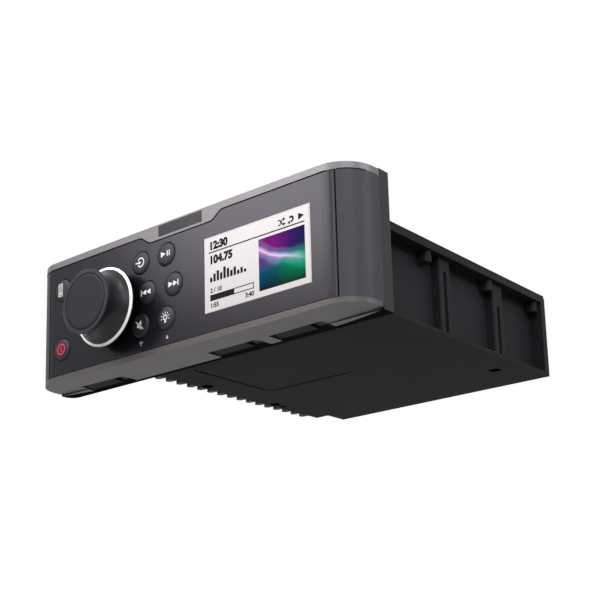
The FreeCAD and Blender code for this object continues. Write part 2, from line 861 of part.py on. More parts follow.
def make_bezel():
    """Moulded bezel: the ring round the door, with the curved ends and the hinge rails."""
    body = new_body("bezel")
    inset = "trim_thickness + seat_gap"
    pad(body, "XY", "trim_thickness", TRIM_TOP, [front_outline(inset, FLANGE_FRONT)])
    pad(body, "XY", "lip_height_bottom", LIP_TOP, [front_outline("0", FLANGE_FRONT)])
    pocket(body, "XZ", FRONT, FLANGE_FRONT, [rectangle(RECESS_LEFT, RECESS_RIGHT, RAIL_LOW, RAIL_TOP)])
    low = f"({RAIL_LOW} + moulding_wall)"
    high = f"({RAIL_TOP} - moulding_wall)"
    hollows = [end_hollow("left", f"moulding_wall - {RECESS_LEFT}"),
               end_hollow("right", f"{RECESS_RIGHT} + moulding_wall")]
    pocket(body, "XY", low, high, hollows)
    hole = (HINGE_X, HINGE_Y, "hinge_pin_radius + running_fit")
    pocket(body, "XY", "trim_thickness", RAIL_LOW, circles=[hole])
    pocket(body, "XY", RAIL_TOP, TRIM_TOP, circles=[hole])
    for centre in RELEASE_SLOTS:
        pad(body, "XY", "trim_thickness - release_block_height", "trim_thickness",
            [release_block(centre)])
    register(body, "bezel")


RELEASE_SLOTS = ("release_slot_left", "release_slot_middle", "release_slot_right")


def release_block(centre):
    """Plan of the catch seen in a slot of the lower trim, with one slanted end."""
    front = "(trim_tongue - flange_thickness - release_slot_depth + release_block_gap)"
    back = f"({front} + release_block_depth)"
    left = f"({centre} - release_slot_width / 2 + release_block_gap)"
    right = f"({left} + release_block_width)"
    return [(left, back), (f"{left} + release_block_lean", front), (right, front), (right, back)]


def trim_skin(name, low, high, bottom):
    """A bright trim before its details: crowned outside, rounded at both ends."""
    body = new_body(name)
    lip = (low, "lip_height_bottom") if bottom else (LIP_TOP, high)
    pad(body, "XZ", FRONT, FLANGE_FRONT, [crown_outline(*lip, bottom)])
    ends = [outside_outline("left", HALF, "0"), outside_outline("right", HALF, "0")]
    pocket(body, "XY", lip[0], lip[1], ends)
    inner = ("trim_thickness", "lip_height_bottom") if bottom else (LIP_TOP, TRIM_TOP)
    pocket(body, "XY", *inner, [front_outline("trim_thickness", FLANGE_FRONT)])
    solid = ("0", "trim_thickness") if bottom else (TRIM_TOP, "panel_height")
    pad(body, "XY", *solid, [tongue_outline()])
    return body


def make_top_trim():
    """Bright upper trim: a thin cover with a lip that dips round the name plate."""
    body = trim_skin("trim_top", LIP_TOP, "panel_height", False)
    pad(body, "XZ", FRONT, f"{FRONT} + trim_thickness", [dip_outline()])
    places = [(amount(x), amount(z)) for x, z in dip_outline()]
    round_edges(body, "dip_radius", lambda edge: along(edge, "Y") and any(
        near(edge.BoundBox.Center.x, x) and near(edge.BoundBox.Center.z, z) for x, z in places))
    top = "(panel_height - nameplate_drop)"
    seat = rectangle("dip_centre - nameplate_width / 2", "dip_centre + nameplate_width / 2",
                     f"{top} - nameplate_height", top)
    pocket(body, "XZ", FRONT, f"{FRONT} + nameplate_seat", [seat])
    register(body, "trim_top")


def make_name_plate():
    """Bare plate let into the dip of the upper trim."""
    body = new_body("name_plate")
    top = "(panel_height - nameplate_drop - seat_gap)"
    bottom = "(panel_height - nameplate_drop - nameplate_height + seat_gap)"
    face = rectangle("dip_centre - nameplate_width / 2 + seat_gap",
                     "dip_centre + nameplate_width / 2 - seat_gap", bottom, top)
    pad(body, "XZ", f"{FRONT} - nameplate_proud", f"{FRONT} + nameplate_seat", [face])
    round_edges(body, "nameplate_corner", lambda edge: along(edge, "Y"))
    register(body, "name_plate")


def make_bottom_trim():
    """Bright lower trim, with three slots where a blade lifts it off its catches."""
    body = trim_skin("trim_bottom", "0", "lip_height_bottom", True)
    back = "(trim_tongue - flange_thickness)"
    for centre in RELEASE_SLOTS:
        left = f"({centre} - release_slot_width / 2)"
        right = f"({centre} + release_slot_width / 2)"
        slot = [
            (left, back),
            (left, f"{back} - release_slot_depth"),
            (f"{right} - release_slot_cut", f"{back} - release_slot_depth"),
            (right, f"{back} - release_slot_depth + release_slot_cut"),
            (right, back),
        ]
        pocket(body, "XY", "0", "trim_thickness", [slot])
    register(body, "trim_bottom")


def hinge_corner():
    """Plan of what the knuckle of the door leaves free, in front of the hinge."""
    ratio = "end_radius / (end_radius - hinge_radius)"
    touch_x = f"({ARC_X} + ({HINGE_X} - {ARC_X}) * {ratio})"
    touch_y = f"({ARC_Y} + ({HINGE_Y} - {ARC_Y}) * {ratio})"
    beyond = f"({FRONT} - 1)"
    return [
        (ARC_X, FRONT, ARC_X),
        (touch_x, touch_y, HINGE_X),
        ("door_right", HINGE_Y),
        ("door_right + 1", HINGE_Y),
        ("door_right + 1", beyond),
        (ARC_X, beyond),
    ]


def make_door():
    """The swinging front: a shell with a window, button holes, posts and hinge bores."""
    body = new_body("door")
    pad(body, "XZ", FRONT, DOOR_BACK, [door_outline("0")])
    pocket(body, "XY", DOOR_LOW, DOOR_TOP, [hinge_corner()])
    pocket(body, "XY", DOOR_LOW, DOOR_TOP, [outside_outline("left", "-door_left", "0")])
    upper = [(amount(x), amount(z)) for x, z in door_outline("0")[3::3]]
    lower = [(amount(x), amount(z)) for x, z in door_outline("0")[4:6]]
    for radius, places in (("dip_radius - door_gap", upper), ("dip_radius + door_gap", lower)):
        round_edges(body, radius, lambda edge: along(edge, "Y") and any(
            near(edge.BoundBox.Center.x, x) and near(edge.BoundBox.Center.z, z) for x, z in places))
    pocket(body, "XZ", DOOR_INNER, DOOR_BACK, [door_outline("door_wall")])
    pad(body, "XZ", DOOR_INNER, f"{HINGE_Y} + hinge_radius",
        [rectangle("door_right - hinge_radius * 2", "door_right - door_wall",
                   f"{DOOR_LOW} + door_wall", f"{DOOR_TOP} - door_wall")])
    pad(body, "XZ", DOOR_INNER, BOARD_FRONT, circles=boss_row(DOOR_POSTS, "post_radius"))
    pad(body, "XZ", BOARD_FRONT, BACK_PLATE_FRONT, circles=boss_row(DOOR_POSTS, "post_neck_radius"))
    pocket(body, "XZ", BOARD_FRONT, BACK_PLATE_FRONT, circles=boss_row(DOOR_POSTS, "screw_radius"))
    window = centred("display_x", "display_z", "display_width", "display_height")
    pocket(body, "XZ", FRONT, DOOR_INNER, [window])
    seat_floor = f"({FRONT} + collar_thickness)"
    pocket(body, "XZ", FRONT, seat_floor, circles=[("knob_x", "knob_z", "collar_radius + seat_gap")])
    holes = [(x, z, "button_radius + side_gap") for x, z in BUTTONS.values()]
    holes.append(("knob_x", "knob_z", "bushing_radius + seat_gap"))
    pocket(body, "XZ", FRONT, DOOR_INNER, circles=holes)
    bore = (HINGE_X, HINGE_Y, "hinge_pin_radius")
    pocket(body, "XY", DOOR_LOW, f"{DOOR_LOW} + hinge_pin_grip", circles=[bore])
    pocket(body, "XY", f"{DOOR_TOP} - hinge_pin_grip", DOOR_TOP, circles=[bore])
    register(body, "door")


COLLAR_NEIGHBOURS = (("previous_x", "row_middle_z"), ("mute_x", "row_low_z"))


def make_hinge_pins():
    """Two steel pins: gripped by the door, turning in the rails of the bezel."""
    spans = [
        ("trim_thickness + seat_gap", f"{DOOR_LOW} + hinge_pin_grip"),
        (f"{DOOR_TOP} - hinge_pin_grip", f"{TRIM_TOP} - seat_gap"),
    ]
    pins = [post(f"HingePin{number}", HINGE_X, HINGE_Y, low, "hinge_pin_radius", f"({high}) - ({low})")
            for number, (low, high) in enumerate(spans)]
    register(gather("HingePins", pins), "hinge_pins")


def make_door_back():
    """Cover plate that closes the door from behind, with seats for two steel discs."""
    body = new_body("door_back")
    back = f"({BACK_PLATE_FRONT} + back_plate_thickness)"
    pad(body, "XZ", BACK_PLATE_FRONT, back, [door_outline("door_wall + side_gap")])
    pocket(body, "XZ", BACK_PLATE_FRONT, back, circles=boss_row(DOOR_POSTS, "screw_radius + seat_gap"))
    pocket(body, "XZ", f"{back} - screw_head_height", back,
           circles=boss_row(DOOR_POSTS, "screw_head_radius + seat_gap"))
    seats = [("catch_x", z, "catch_radius + seat_gap") for z in CATCH_HEIGHTS]
    pocket(body, "XZ", f"{back} - catch_plate_thickness", back, circles=seats)
    register(body, "door_back")


CATCH_HEIGHTS = ("catch_low_z", "catch_high_z")


def make_catch_plates():
    """Two steel discs in the cover plate, which the magnets hold."""
    back = f"({BACK_PLATE_FRONT} + back_plate_thickness)"
    discs = [rod(f"CatchPlate{number}", "catch_x", f"{back} - catch_plate_thickness", z,
                 "catch_radius", "catch_plate_thickness") for number, z in enumerate(CATCH_HEIGHTS)]
    register(gather("CatchPlates", discs), "catch_plates")


def make_catches():
    """Two magnets on the flange, which hold the free end of the door."""
    front = f"({BACK_PLATE_FRONT} + back_plate_thickness + door_gap)"
    magnets = [rod(f"Catch{number}", "catch_x", front, z, "catch_radius", f"{FLANGE_FRONT} - {front}")
               for number, z in enumerate(CATCH_HEIGHTS)]
    register(gather("DoorCatches", magnets), "door_catches")


def make_door_screws():
    """Six screws through the cover plate into the posts of the door."""
    seat = f"({BACK_PLATE_FRONT} + back_plate_thickness - screw_head_height)"
    tip = f"({BOARD_FRONT} + seat_gap)"
    pieces = []
    for number, (x, z) in enumerate(DOOR_POSTS):
        pieces.append(rod(f"DoorHead{number}", x, seat, z, "screw_head_radius", "screw_head_height"))
        pieces.append(rod(f"DoorStem{number}", x, tip, z, "screw_radius - running_fit", f"{seat} - {tip}"))
    register(gather("DoorScrews", pieces, "Part::MultiFuse"), "door_screws")


def rod(name, x, y, z, radius, length):
    """A cylinder that starts at y and runs along +Y."""
    item = fresh("Part::Cylinder", name)
    item.setExpression("Radius", rule(radius))
    item.setExpression("Height", rule(length))
    item.Placement.Rotation = FreeCAD.Rotation(FreeCAD.Vector(1, 0, 0), -90)
    item.setExpression(".Placement.Base.x", rule(x))
    item.setExpression(".Placement.Base.y", rule(y))
    item.setExpression(".Placement.Base.z", rule(z))
    return item


def post(name, x, y, z, radius, length):
    """A cylinder that starts at z and runs along +Z."""
    item = fresh("Part::Cylinder", name)
    item.setExpression("Radius", rule(radius))
    item.setExpression("Height", rule(length))
    item.setExpression(".Placement.Base.x", rule(x))
    item.setExpression(".Placement.Base.y", rule(y))
    item.setExpression(".Placement.Base.z", rule(z))
    return item


def block(name, x_low, x_high, y_low, y_high, z_low, z_high):
    """A box between two rules along each axis."""
    item = fresh("Part::Box", name)
    for side, low, high in (("Length", x_low, x_high), ("Width", y_low, y_high),
                            ("Height", z_low, z_high)):
        item.setExpression(side, rule(f"({high}) - ({low})"))
    item.setExpression(".Placement.Base.x", rule(x_low))
    item.setExpression(".Placement.Base.y", rule(y_low))
    item.setExpression(".Placement.Base.z", rule(z_low))
    return item


def gather(name, pieces, kind="Part::Compound"):
    group = fresh(kind, name)
    if kind == "Part::Compound":
        group.Links = pieces
    else:
        group.Shapes = pieces
    return group


def make_lens():
    """Clear window of the display, flush with the face of the door."""
    body = new_body("display_lens")
    face = centred("display_x", "display_z", "display_width - 2 * seat_gap", "display_height - 2 * seat_gap")
    pad(body, "XZ", f"{FRONT} + seat_gap", DOOR_INNER, [face])
    register(body, "display_lens")


def make_display():
    """Display module: a thin frame and panel on the door's circuit board."""
    body = new_body("display_module")
    outer = centred("display_x", "display_z", "display_width + 2 * module_border",
                    "display_height + 2 * module_border")
    pad(body, "XZ", DOOR_INNER, BOARD_FRONT, [outer])
    round_edges(body, "module_corner", lambda edge: along(edge, "Y"))
    register(body, "display_module")


def make_door_board():
    """Circuit board that carries the switches, the encoder and the display."""
    body = new_body("door_board")
    low = f"({DOOR_LOW} + door_wall + board_edge)"
    high = f"({DOOR_TOP} - dip_height - door_wall - board_edge)"
    right = f"{HINGE_X} - hinge_radius - post_clearance"
    outline = rectangle("door_left + door_wall + board_edge", right, low, high)
    pad(body, "XZ", BOARD_FRONT, BOARD_BACK, [outline])
    crossed = [DOOR_POSTS[0], DOOR_POSTS[2], DOOR_POSTS[3], DOOR_POSTS[4]]
    pocket(body, "XZ", BOARD_FRONT, BOARD_BACK,
           circles=boss_row(crossed, "post_neck_radius + side_gap"))
    register(body, "door_board")


def make_switches():
    """Eight small key switches on the board, one behind each button."""
    pieces = []
    face = f"({SWITCH_TOP} + actuator_length)"
    for name, (x, z) in BUTTONS.items():
        half = "switch_side / 2"
        pieces.append(block("Switch_" + name, f"{x} - {half}", f"{x} + {half}", face, BOARD_FRONT,
                            f"{z} - {half}", f"{z} + {half}"))
        pieces.append(rod("Actuator_" + name, x, SWITCH_TOP, z, "button_stem_radius - side_gap",
                          "actuator_length"))
    register(gather("Switches", pieces, "Part::MultiFuse"), "key_switches")


def make_button(name, x, z):
    """A round push button: domed cap, stop flange behind the door's wall, and stem."""
    body = new_body(name)
    flange_front = f"({DOOR_INNER} + seat_gap)"
    pad(body, "XZ", f"{FRONT} - button_proud", flange_front, circles=[(x, z, "button_radius")])
    face = f"{FRONT} - button_proud"
    round_edges(body, "button_edge", lambda edge: at_point(edge, y=face) and flat(edge, "Y"), "Chamfer")
    pad(body, "XZ", flange_front, BUTTON_FLANGE_BACK, circles=[(x, z, "button_radius + button_flange")])
    pad(body, "XZ", BUTTON_FLANGE_BACK, f"{BUTTON_FLANGE_BACK} + button_stem_length",
        circles=[(x, z, "button_stem_radius")])
    register(body, name)


def make_collar():
    """Dark disc let into the door under the knob, cut away round the nearest buttons."""
    body = new_body("knob_collar")
    back = f"({FRONT} + collar_thickness)"
    pad(body, "XZ", FRONT, back, circles=[("knob_x", "knob_z", "collar_radius"),
                                          ("knob_x", "knob_z", "bushing_radius + seat_gap")])
    for x, z in COLLAR_NEIGHBOURS:
        pocket(body, "XZ", FRONT, back, circles=[(x, z, "button_radius + button_rim")])
    register(body, "knob_collar")


def make_encoder():
    """Rotary encoder: a square body on the board and a round bushing through the door."""
    body = new_body("encoder")
    square = centred("knob_x", "knob_z", "encoder_side", "encoder_side")
    pad(body, "XZ", DOOR_INNER, BOARD_FRONT, [square])
    tip = f"({FRONT} - bushing_length)"
    pad(body, "XZ", tip, DOOR_INNER, circles=[("knob_x", "knob_z", "bushing_radius")])
    pocket(body, "XZ", tip, BOARD_FRONT, circles=[("knob_x", "knob_z", "shaft_radius + running_fit")])
    register(body, "encoder")


def make_plunger():
    """Sliding foot of the encoder, which the knob's shaft pushes when it is pressed."""
    body = new_body("encoder_plunger")
    pad(body, "XZ", SHAFT_REAR, f"{SHAFT_REAR} + plunger_length",
        circles=[("knob_x", "knob_z", "shaft_radius")])
    register(body, "encoder_plunger")


def make_shaft():
    """Turning shaft of the encoder, fixed in the knob."""
    body = new_body("encoder_shaft")
    tip = f"({KNOB_FACE} + cap_thickness + shaft_grip)"
    pad(body, "XZ", tip, SHAFT_REAR, circles=[("knob_x", "knob_z", "shaft_radius")])
    round_edges(body, "shaft_chamfer", lambda edge: at_point(edge, y=tip) and flat(edge, "Y"), "Chamfer")
    register(body, "encoder_shaft")


def make_knob():
    """Turned knob: foot, ring seat, a waisted skirt and the lip round the cap."""
    body = new_body("knob")
    ring_front = f"({RING_REAR} - ring_thickness)"
    cap_seat = f"({KNOB_FACE} + cap_thickness)"
    lip_face = f"({KNOB_FACE} + knob_lip_step)"
    socket_floor = f"({cap_seat} + shaft_grip)"
    web = f"({RING_REAR} - knob_web)"
    foot_inner = "knob_foot_radius - knob_foot_wall"
    corners = [
        ("shaft_radius", web),
        (foot_inner, web),
        (foot_inner, KNOB_REAR),
        ("knob_foot_radius", KNOB_REAR),
        ("knob_foot_radius", RING_REAR),
        ("ring_seat_radius", RING_REAR),
        ("ring_seat_radius", ring_front, "ring_seat_radius + knob_waist_radius"),
        ("knob_waist_radius", f"{lip_face} + knob_lip_height"),
        ("knob_lip_radius", f"{lip_face} + knob_lip_height / 2"),
        ("knob_lip_radius", lip_face),
        ("cap_radius + cap_groove", lip_face),
        ("cap_radius + cap_groove", cap_seat),
        ("0", cap_seat),
        ("0", socket_floor),
        ("shaft_radius", socket_floor),
    ]
    turn(body, corners)
    register(body, "knob", "knob_x", "knob_z")


def make_knob_ring():
    """Bright ring round the widest part of the knob."""
    body = new_body("knob_ring")
    front = f"({RING_REAR} - ring_thickness)"
    corners = [
        ("ring_seat_radius", RING_REAR),
        ("ring_radius - ring_edge_rear", RING_REAR),
        ("ring_radius", f"{RING_REAR} - ring_bevel_rear"),
        ("ring_radius", f"{front} + ring_edge_front"),
        ("ring_radius - ring_edge_front", front),
        ("ring_seat_radius", front),
    ]
    turn(body, corners)
    register(body, "knob_ring", "knob_x", "knob_z")


def make_knob_cap():
    """Flat cap in the face of the knob, slightly dished."""
    body = new_body("knob_cap")
    seat = f"({KNOB_FACE} + cap_thickness)"
    corners = [
        ("0", seat),
        ("cap_radius", seat),
        ("cap_radius", f"{KNOB_FACE} + cap_edge"),
        ("cap_radius - cap_edge", KNOB_FACE),
        ("cap_radius - cap_edge - cap_rim", KNOB_FACE),
        ("0", f"{KNOB_FACE} + cap_dish"),
    ]
    turn(body, corners)
    register(body, "knob_cap", "knob_x", "knob_z")


def make_bay_seal():
    """Rubber seal round the mouth of the media bay, which the closed door meets."""
    body = new_body("bay_seal")
    front = f"({BACK_PLATE_FRONT} + back_plate_thickness + door_gap)"
    pad(body, "XZ", front, FLANGE_FRONT, [bay_rectangle("seal_inset + seal_width"),
                                          bay_rectangle("seal_inset")])
    register(body, "bay_seal")


def make_base():
    """Bottom plate, with a shallow bent line pressed into it and countersunk screw holes."""
    body = new_body("base_plate")
    pad(body, "XY", "0", "plate_thickness", [chassis_outline()])
    pocket(body, "XY", "0", "underside_recess", [recess_line()])
    pocket(body, "XY", "0", "plate_thickness", circles=boss_row(BASE_SCREWS, "screw_radius + side_gap"))
    pocket(body, "XY", "0", "screw_head_height", circles=boss_row(BASE_SCREWS, "case_screw_head + seat_gap"))
    locating = ("base_screw_left_x", "locating_hole_y", "locating_hole_radius")
    pocket(body, "XY", "0", "plate_thickness", circles=[locating])
    register(body, "base_plate")


def recess_line():
    """Plan of the pressed line: back along the left, round a corner, then to the right."""
    centre_x = "(recess_left_x + recess_corner)"
    centre_y = "(recess_back_y - recess_corner)"
    inner_x = "(recess_left_x + recess_line_width)"
    inner_y = "(recess_back_y - recess_line_width)"
    return [
        ("recess_left_x", "recess_front_y"),
        (inner_x, "recess_front_y"),
        (inner_x, centre_y, centre_x),
        (centre_x, inner_y),
        ("recess_right_x", inner_y),
        ("recess_right_x", "recess_back_y"),
        (centre_x, "recess_back_y", centre_x),
        ("recess_left_x", centre_y),
    ]


def chassis_outline(right="chassis_right"):
    return [
        ("chassis_left", "0"),
        (right, "0"),
        (right, REAR_FACE),
        ("rear_corner_x", REAR_FACE),
        ("rear_corner_x", "rear_corner_y"),
        ("chassis_left", "rear_corner_y"),
    ]


def make_lid():
    """Top cover, screwed to the side frame and the heat sink, a little back from the frame's face."""
    body = new_body("top_cover")
    pad(body, "XY", LID_LOW, "chassis_height", [chassis_outline("(chassis_right - lid_setback)")])
    pocket(body, "XY", LID_LOW, "chassis_height", circles=boss_row(LID_SCREWS, "screw_radius + side_gap"))
    pocket(body, "XY", "chassis_height - screw_head_height", "chassis_height",
           circles=boss_row(LID_SCREWS, "case_screw_head + seat_gap"))
    register(body, "top_cover")


def make_side_frame():
    """Right side frame: a recessed wall under a flange, with slotted ribs and screw bosses."""
    body = new_body("side_frame")
    flange_low = f"({LID_LOW} - side_flange_height)"
    section = [
        (SIDE_INNER, "plate_thickness"),
        (SIDE_OUTER, "plate_thickness"),
        (SIDE_OUTER, flange_low),
        ("chassis_right", flange_low),
        ("chassis_right", LID_LOW),
        (SIDE_INNER, LID_LOW),
    ]
    pad(body, "XZ", "0", REAR_FACE, [section])
    face = "(chassis_right - rib_inset)"
    for start, width, top in (("rib_a_start", "rib_a_width", "rib_slot_a_top"),
                              ("rib_b_start", "rib_b_width", "rib_slot_b_top")):
        end = f"({start} + {width})"
        pad(body, "XY", "plate_thickness", flange_low,
            [rectangle(SIDE_OUTER, face, start, end)])
        slot_end = f"({end} - rib_slot_setback)"
        pocket(body, "XY", "plate_thickness", top,
               [rectangle(f"{face} - rib_slot_depth", face, f"{slot_end} - rib_slot_width", slot_end)])
    round_edges(body, "rib_corner", lambda edge: along(edge, "Z") and at_point(edge, x=face)
                and edge.BoundBox.ZLength > amount(f"{flange_low} - plate_thickness - 1"))
    for middle in ("boss_first_y", "boss_second_y", "boss_third_y"):
        pad(body, "XY", f"{flange_low} - boss_drop", flange_low, [boss_outline(middle)])
    rear = rectangle(SIDE_OUTER, "chassis_right", f"{REAR_FACE} - rear_post_depth", REAR_FACE)
    pad(body, "XY", "plate_thickness", flange_low, [rear])
    front_boss = rectangle("side_inner - flange_boss_width", SIDE_INNER, "0", "flange_screw_reach")
    pad(body, "XY", "plate_thickness", LID_LOW, [front_boss])
    foot = rectangle("base_screw_right_x - foot_reach", SIDE_INNER,
                     "base_screw_right_y - foot_half_depth", "base_screw_right_y + foot_half_depth")
    pad(body, "XY", "plate_thickness", "board_z", [foot])
    pocket(body, "XZ", "0", "flange_screw_reach",
           circles=boss_row(FLANGE_SCREWS[2:], "flange_screw_radius + running_fit"))
    pocket(body, "XY", "plate_thickness", "plate_thickness + case_screw_length",
           circles=boss_row(BASE_SCREWS[2:], "screw_radius + running_fit"))
    pocket(body, "XY", f"{LID_LOW} - case_screw_length", LID_LOW,
           circles=boss_row(LID_SCREWS[2:], "screw_radius + running_fit"))
    register(body, "side_frame")


def boss_outline(middle):
    """Plan of a screw boss: out from the wall, with a round end about the screw."""
    low = f"({middle} - boss_width / 2)"
    high = f"({middle} + boss_width / 2)"
    return [
        (SIDE_OUTER, low),
        ("lid_screw_x", low, "lid_screw_x"),
        ("lid_screw_x + boss_width / 2", middle, "lid_screw_x"),
        ("lid_screw_x", high),
        (SIDE_OUTER, high),
    ]


def make_heat_sink():
    """Heat sink casting: the left wall of the chassis with sixteen round-tipped fins."""
    body = new_body("heat_sink")
    wall = [
        ("chassis_left", "0"),
        (SINK_INNER, "0"),
        (SINK_INNER, "sink_back_y"),
        (CORNER_INNER, "sink_back_y"),
        (CORNER_INNER, REAR_FACE),
        ("rear_corner_x", REAR_FACE),
        ("rear_corner_x", "rear_corner_y"),
        ("chassis_left", "rear_corner_y"),
    ]
    pad(body, "XY", "plate_thickness", LID_LOW, [wall])
    tip = "(chassis_left - fin_length)"
    round_start = f"({tip} + fin_tip / 2)"
    fin = [
        ("chassis_left", "fin_first_y - fin_thickness / 2"),
        ("chassis_left", "fin_first_y + fin_thickness / 2"),
        (round_start, "fin_first_y + fin_tip / 2", round_start),
        (tip, "fin_first_y", round_start),
        (round_start, "fin_first_y - fin_tip / 2"),
    ]
    feature = pad(body, "XY", "plate_thickness", LID_LOW, [fin])
    row = body.newObject("PartDesign::LinearPattern", "FinRow")
    row.Originals = [feature]
    row.Direction = ([item for item in body.Origin.OriginFeatures if item.Role == "Y_Axis"][0], [""])
    row.setExpression("Length", rule("fin_pitch * (fin_count - 1)"))
    row.setExpression("Occurrences", rule("fin_count"))
    body.Tip = row
    document.recompute()
    pocket(body, "XZ", "0", "flange_screw_reach",
           circles=boss_row(FLANGE_SCREWS[:2], "flange_screw_radius + running_fit"))
    pocket(body, "XY", "plate_thickness", "plate_thickness + case_screw_length",
           circles=boss_row(BASE_SCREWS[:2], "screw_radius + running_fit"))
    pocket(body, "XY", f"{LID_LOW} - case_screw_length", LID_LOW,
           circles=boss_row(LID_SCREWS[:2], "screw_radius + running_fit"))
    register(body, "heat_sink")


def make_rear_panel():
    """Rear panel, with an opening for each socket and a threaded boss for the rear support."""
    body = new_body("rear_panel")
    front = f"({REAR_FACE} - rear_panel_thickness)"
    pad(body, "XZ", front, REAR_FACE, [rectangle(CORNER_INNER, SIDE_INNER, "plate_thickness", LID_LOW)])
    pad(body, "XZ", f"{REAR_FACE} - stud_hole_depth - stud_floor", REAR_FACE,
        circles=[("stud_x", "stud_z", "stud_boss_radius")])
    pocket(body, "XZ", f"{REAR_FACE} - stud_hole_depth", REAR_FACE,
           circles=[("stud_x", "stud_z", "stud_hole_radius")])
    plugs = [centred(x, z, "plug_width + 2 * plug_wall + 2 * seat_gap",
                     "plug_height + 2 * plug_wall + 2 * seat_gap") for x, z in PLUGS]
    usb = centred("usb_x", "usb_z", "usb_width + 2 * seat_gap", "usb_height + 2 * seat_gap")
    pocket(body, "XZ", front, REAR_FACE, plugs + [usb])
    round_holes = [(x, z, "jack_radius + seat_gap") for x, z in JACKS]
    round_holes.append(("network_x", "network_z", "network_radius + seat_gap"))
    pocket(body, "XZ", front, REAR_FACE, circles=round_holes)
    pocket(body, "XZ", front, REAR_FACE, circles=boss_row(REAR_SCREWS, "screw_radius + side_gap"))
    register(body, "rear_panel")


def make_plug_socket(name, x, z):
    """Square-cornered power and loudspeaker socket: a shell with a row of pins in it."""
    body = new_body(name)
    inner_front = f"({REAR_FACE} - socket_seat)"
    mouth = "(chassis_depth + socket_length)"
    floor = f"({inner_front} + plug_floor)"
    outer = centred(x, z, "plug_width + 2 * plug_wall", "plug_height + 2 * plug_wall")
    pad(body, "XZ", inner_front, mouth, [outer])
    pocket(body, "XZ", floor, mouth, [centred(x, z, "plug_width", "plug_height")])
    pins = []
    for step in (-2, -1, 0, 1, 2):
        for side in (-1, 1):
            pins.append(centred(f"({x} + {step} * pin_pitch)", f"({z} + {side} * plug_height / 4)",
                                "pin_side", "pin_side"))
    pad(body, "XZ", floor, f"{floor} + pin_length", pins)
    register(body, name)


def make_jacks():
    """Four round line-level jacks on one backing block behind the rear panel."""
    seat = f"({REAR_FACE} - rear_panel_thickness)"
    mouth = "(chassis_depth + socket_length)"
    pieces = [block("JackBlock", "jack_first_x - jack_plate_border",
                    "jack_first_x + jack_pitch + jack_plate_border", f"{seat} - socket_seat", seat,
                    "jack_low_z - jack_plate_border", "jack_high_z + jack_plate_border")]
    for number, (x, z) in enumerate(JACKS):
        sleeve = new_body(f"JackSleeve{number}")
        pad(sleeve, "XZ", seat, mouth, circles=[(x, z, "jack_radius")])
        pocket(sleeve, "XZ", f"{mouth} - jack_bore_depth", mouth, circles=[(x, z, "jack_bore_radius")])
        pieces.append(sleeve)
    register(gather("LineJacks", pieces), "line_jacks")


def make_usb():
    """USB socket: a folded shell with its contact tongue."""
    body = new_body("usb_socket")
    inner = f"({REAR_FACE} - usb_depth)"
    mouth = f"({REAR_FACE} + socket_length / 2)"
    pad(body, "XZ", inner, mouth, [centred("usb_x", "usb_z", "usb_width", "usb_height")])
    pocket(body, "XZ", f"{inner} + usb_floor", mouth,
           [centred("usb_x", "usb_z", "usb_width - 2 * usb_wall", "usb_height - 2 * usb_wall")])
    pad(body, "XZ", f"{inner} + usb_floor", f"{mouth} - usb_floor",
        [centred("usb_x", "usb_z + usb_tongue / 2", "usb_width - 4 * usb_wall", "usb_tongue")])
    register(body, "usb_socket")


def make_network():
    """Round screw-ring network socket."""
    body = new_body("network_socket")
    inner = f"({REAR_FACE} - rear_panel_thickness - network_seat)"
    mouth = "(chassis_depth + socket_length)"
    centre = ("network_x", "network_z")
    seat = f"{REAR_FACE} - rear_panel_thickness"
    pad(body, "XZ", inner, seat, circles=[(*centre, "network_radius + network_flange")])
    pad(body, "XZ", seat, mouth, circles=[(*centre, "network_radius")])
    pocket(body, "XZ", f"{mouth} - network_bore_depth", mouth, circles=[(*centre, "network_bore_radius")])
    register(body, "network_socket")


def make_bay():
    """Media bay: an open-fronted tray behind the mouth in the flange."""
    body = new_body("media_bay")
    pad(body, "XZ", "0", "bay_depth", [bay_rectangle("bay_wall")])
    pocket(body, "XZ", "0", "bay_depth - bay_wall", [bay_rectangle("0")])
    slot = centred("bay_x", "bay_z", "bay_socket_width", "bay_socket_height")
    pocket(body, "XZ", "bay_depth - bay_wall", "bay_depth", [slot])
    register(body, "media_bay")


def make_bay_socket():
    """Socket in the back wall of the bay, for the player or memory stick."""
    body = new_body("bay_socket")
    width = "bay_socket_width - 2 * seat_gap"
    height = "bay_socket_height - 2 * seat_gap"
    front = "(bay_depth - bay_wall - bay_socket_reach)"
    back = f"({front} + bay_socket_depth)"
    floor = f"({back} - bay_wall)"
    pad(body, "XZ", front, back, [centred("bay_x", "bay_z", width, height)])
    hollow = centred("bay_x", "bay_z", f"{width} - 2 * bay_socket_shell", f"{height} - 3 * bay_socket_shell")
    pocket(body, "XZ", front, floor, [hollow])
    tongue = centred("bay_x", "bay_z - bay_tongue_drop", f"{width} - 5 * bay_socket_shell", "bay_tongue")
    pad(body, "XZ", f"{front} + seat_gap", floor, [tongue])
    register(body, "bay_socket")


def make_main_board():
    """Main circuit board behind the bay, on four pillars."""
    body = new_body("main_board")
    left = f"({SINK_INNER} + board_gap)"
    right = f"({SIDE_INNER} - board_gap)"
    back = "board_back_y"
    low = "board_z"
    high = "(board_z + board_thickness)"
    pad(body, "XY", low, high, [rectangle(left, right, "board_front_y", back)])
    corner = rectangle(left, f"{CORNER_INNER} + board_gap", "sink_back_y - board_gap", back)
    pocket(body, "XY", low, high, [corner])
    register(body, "main_board")


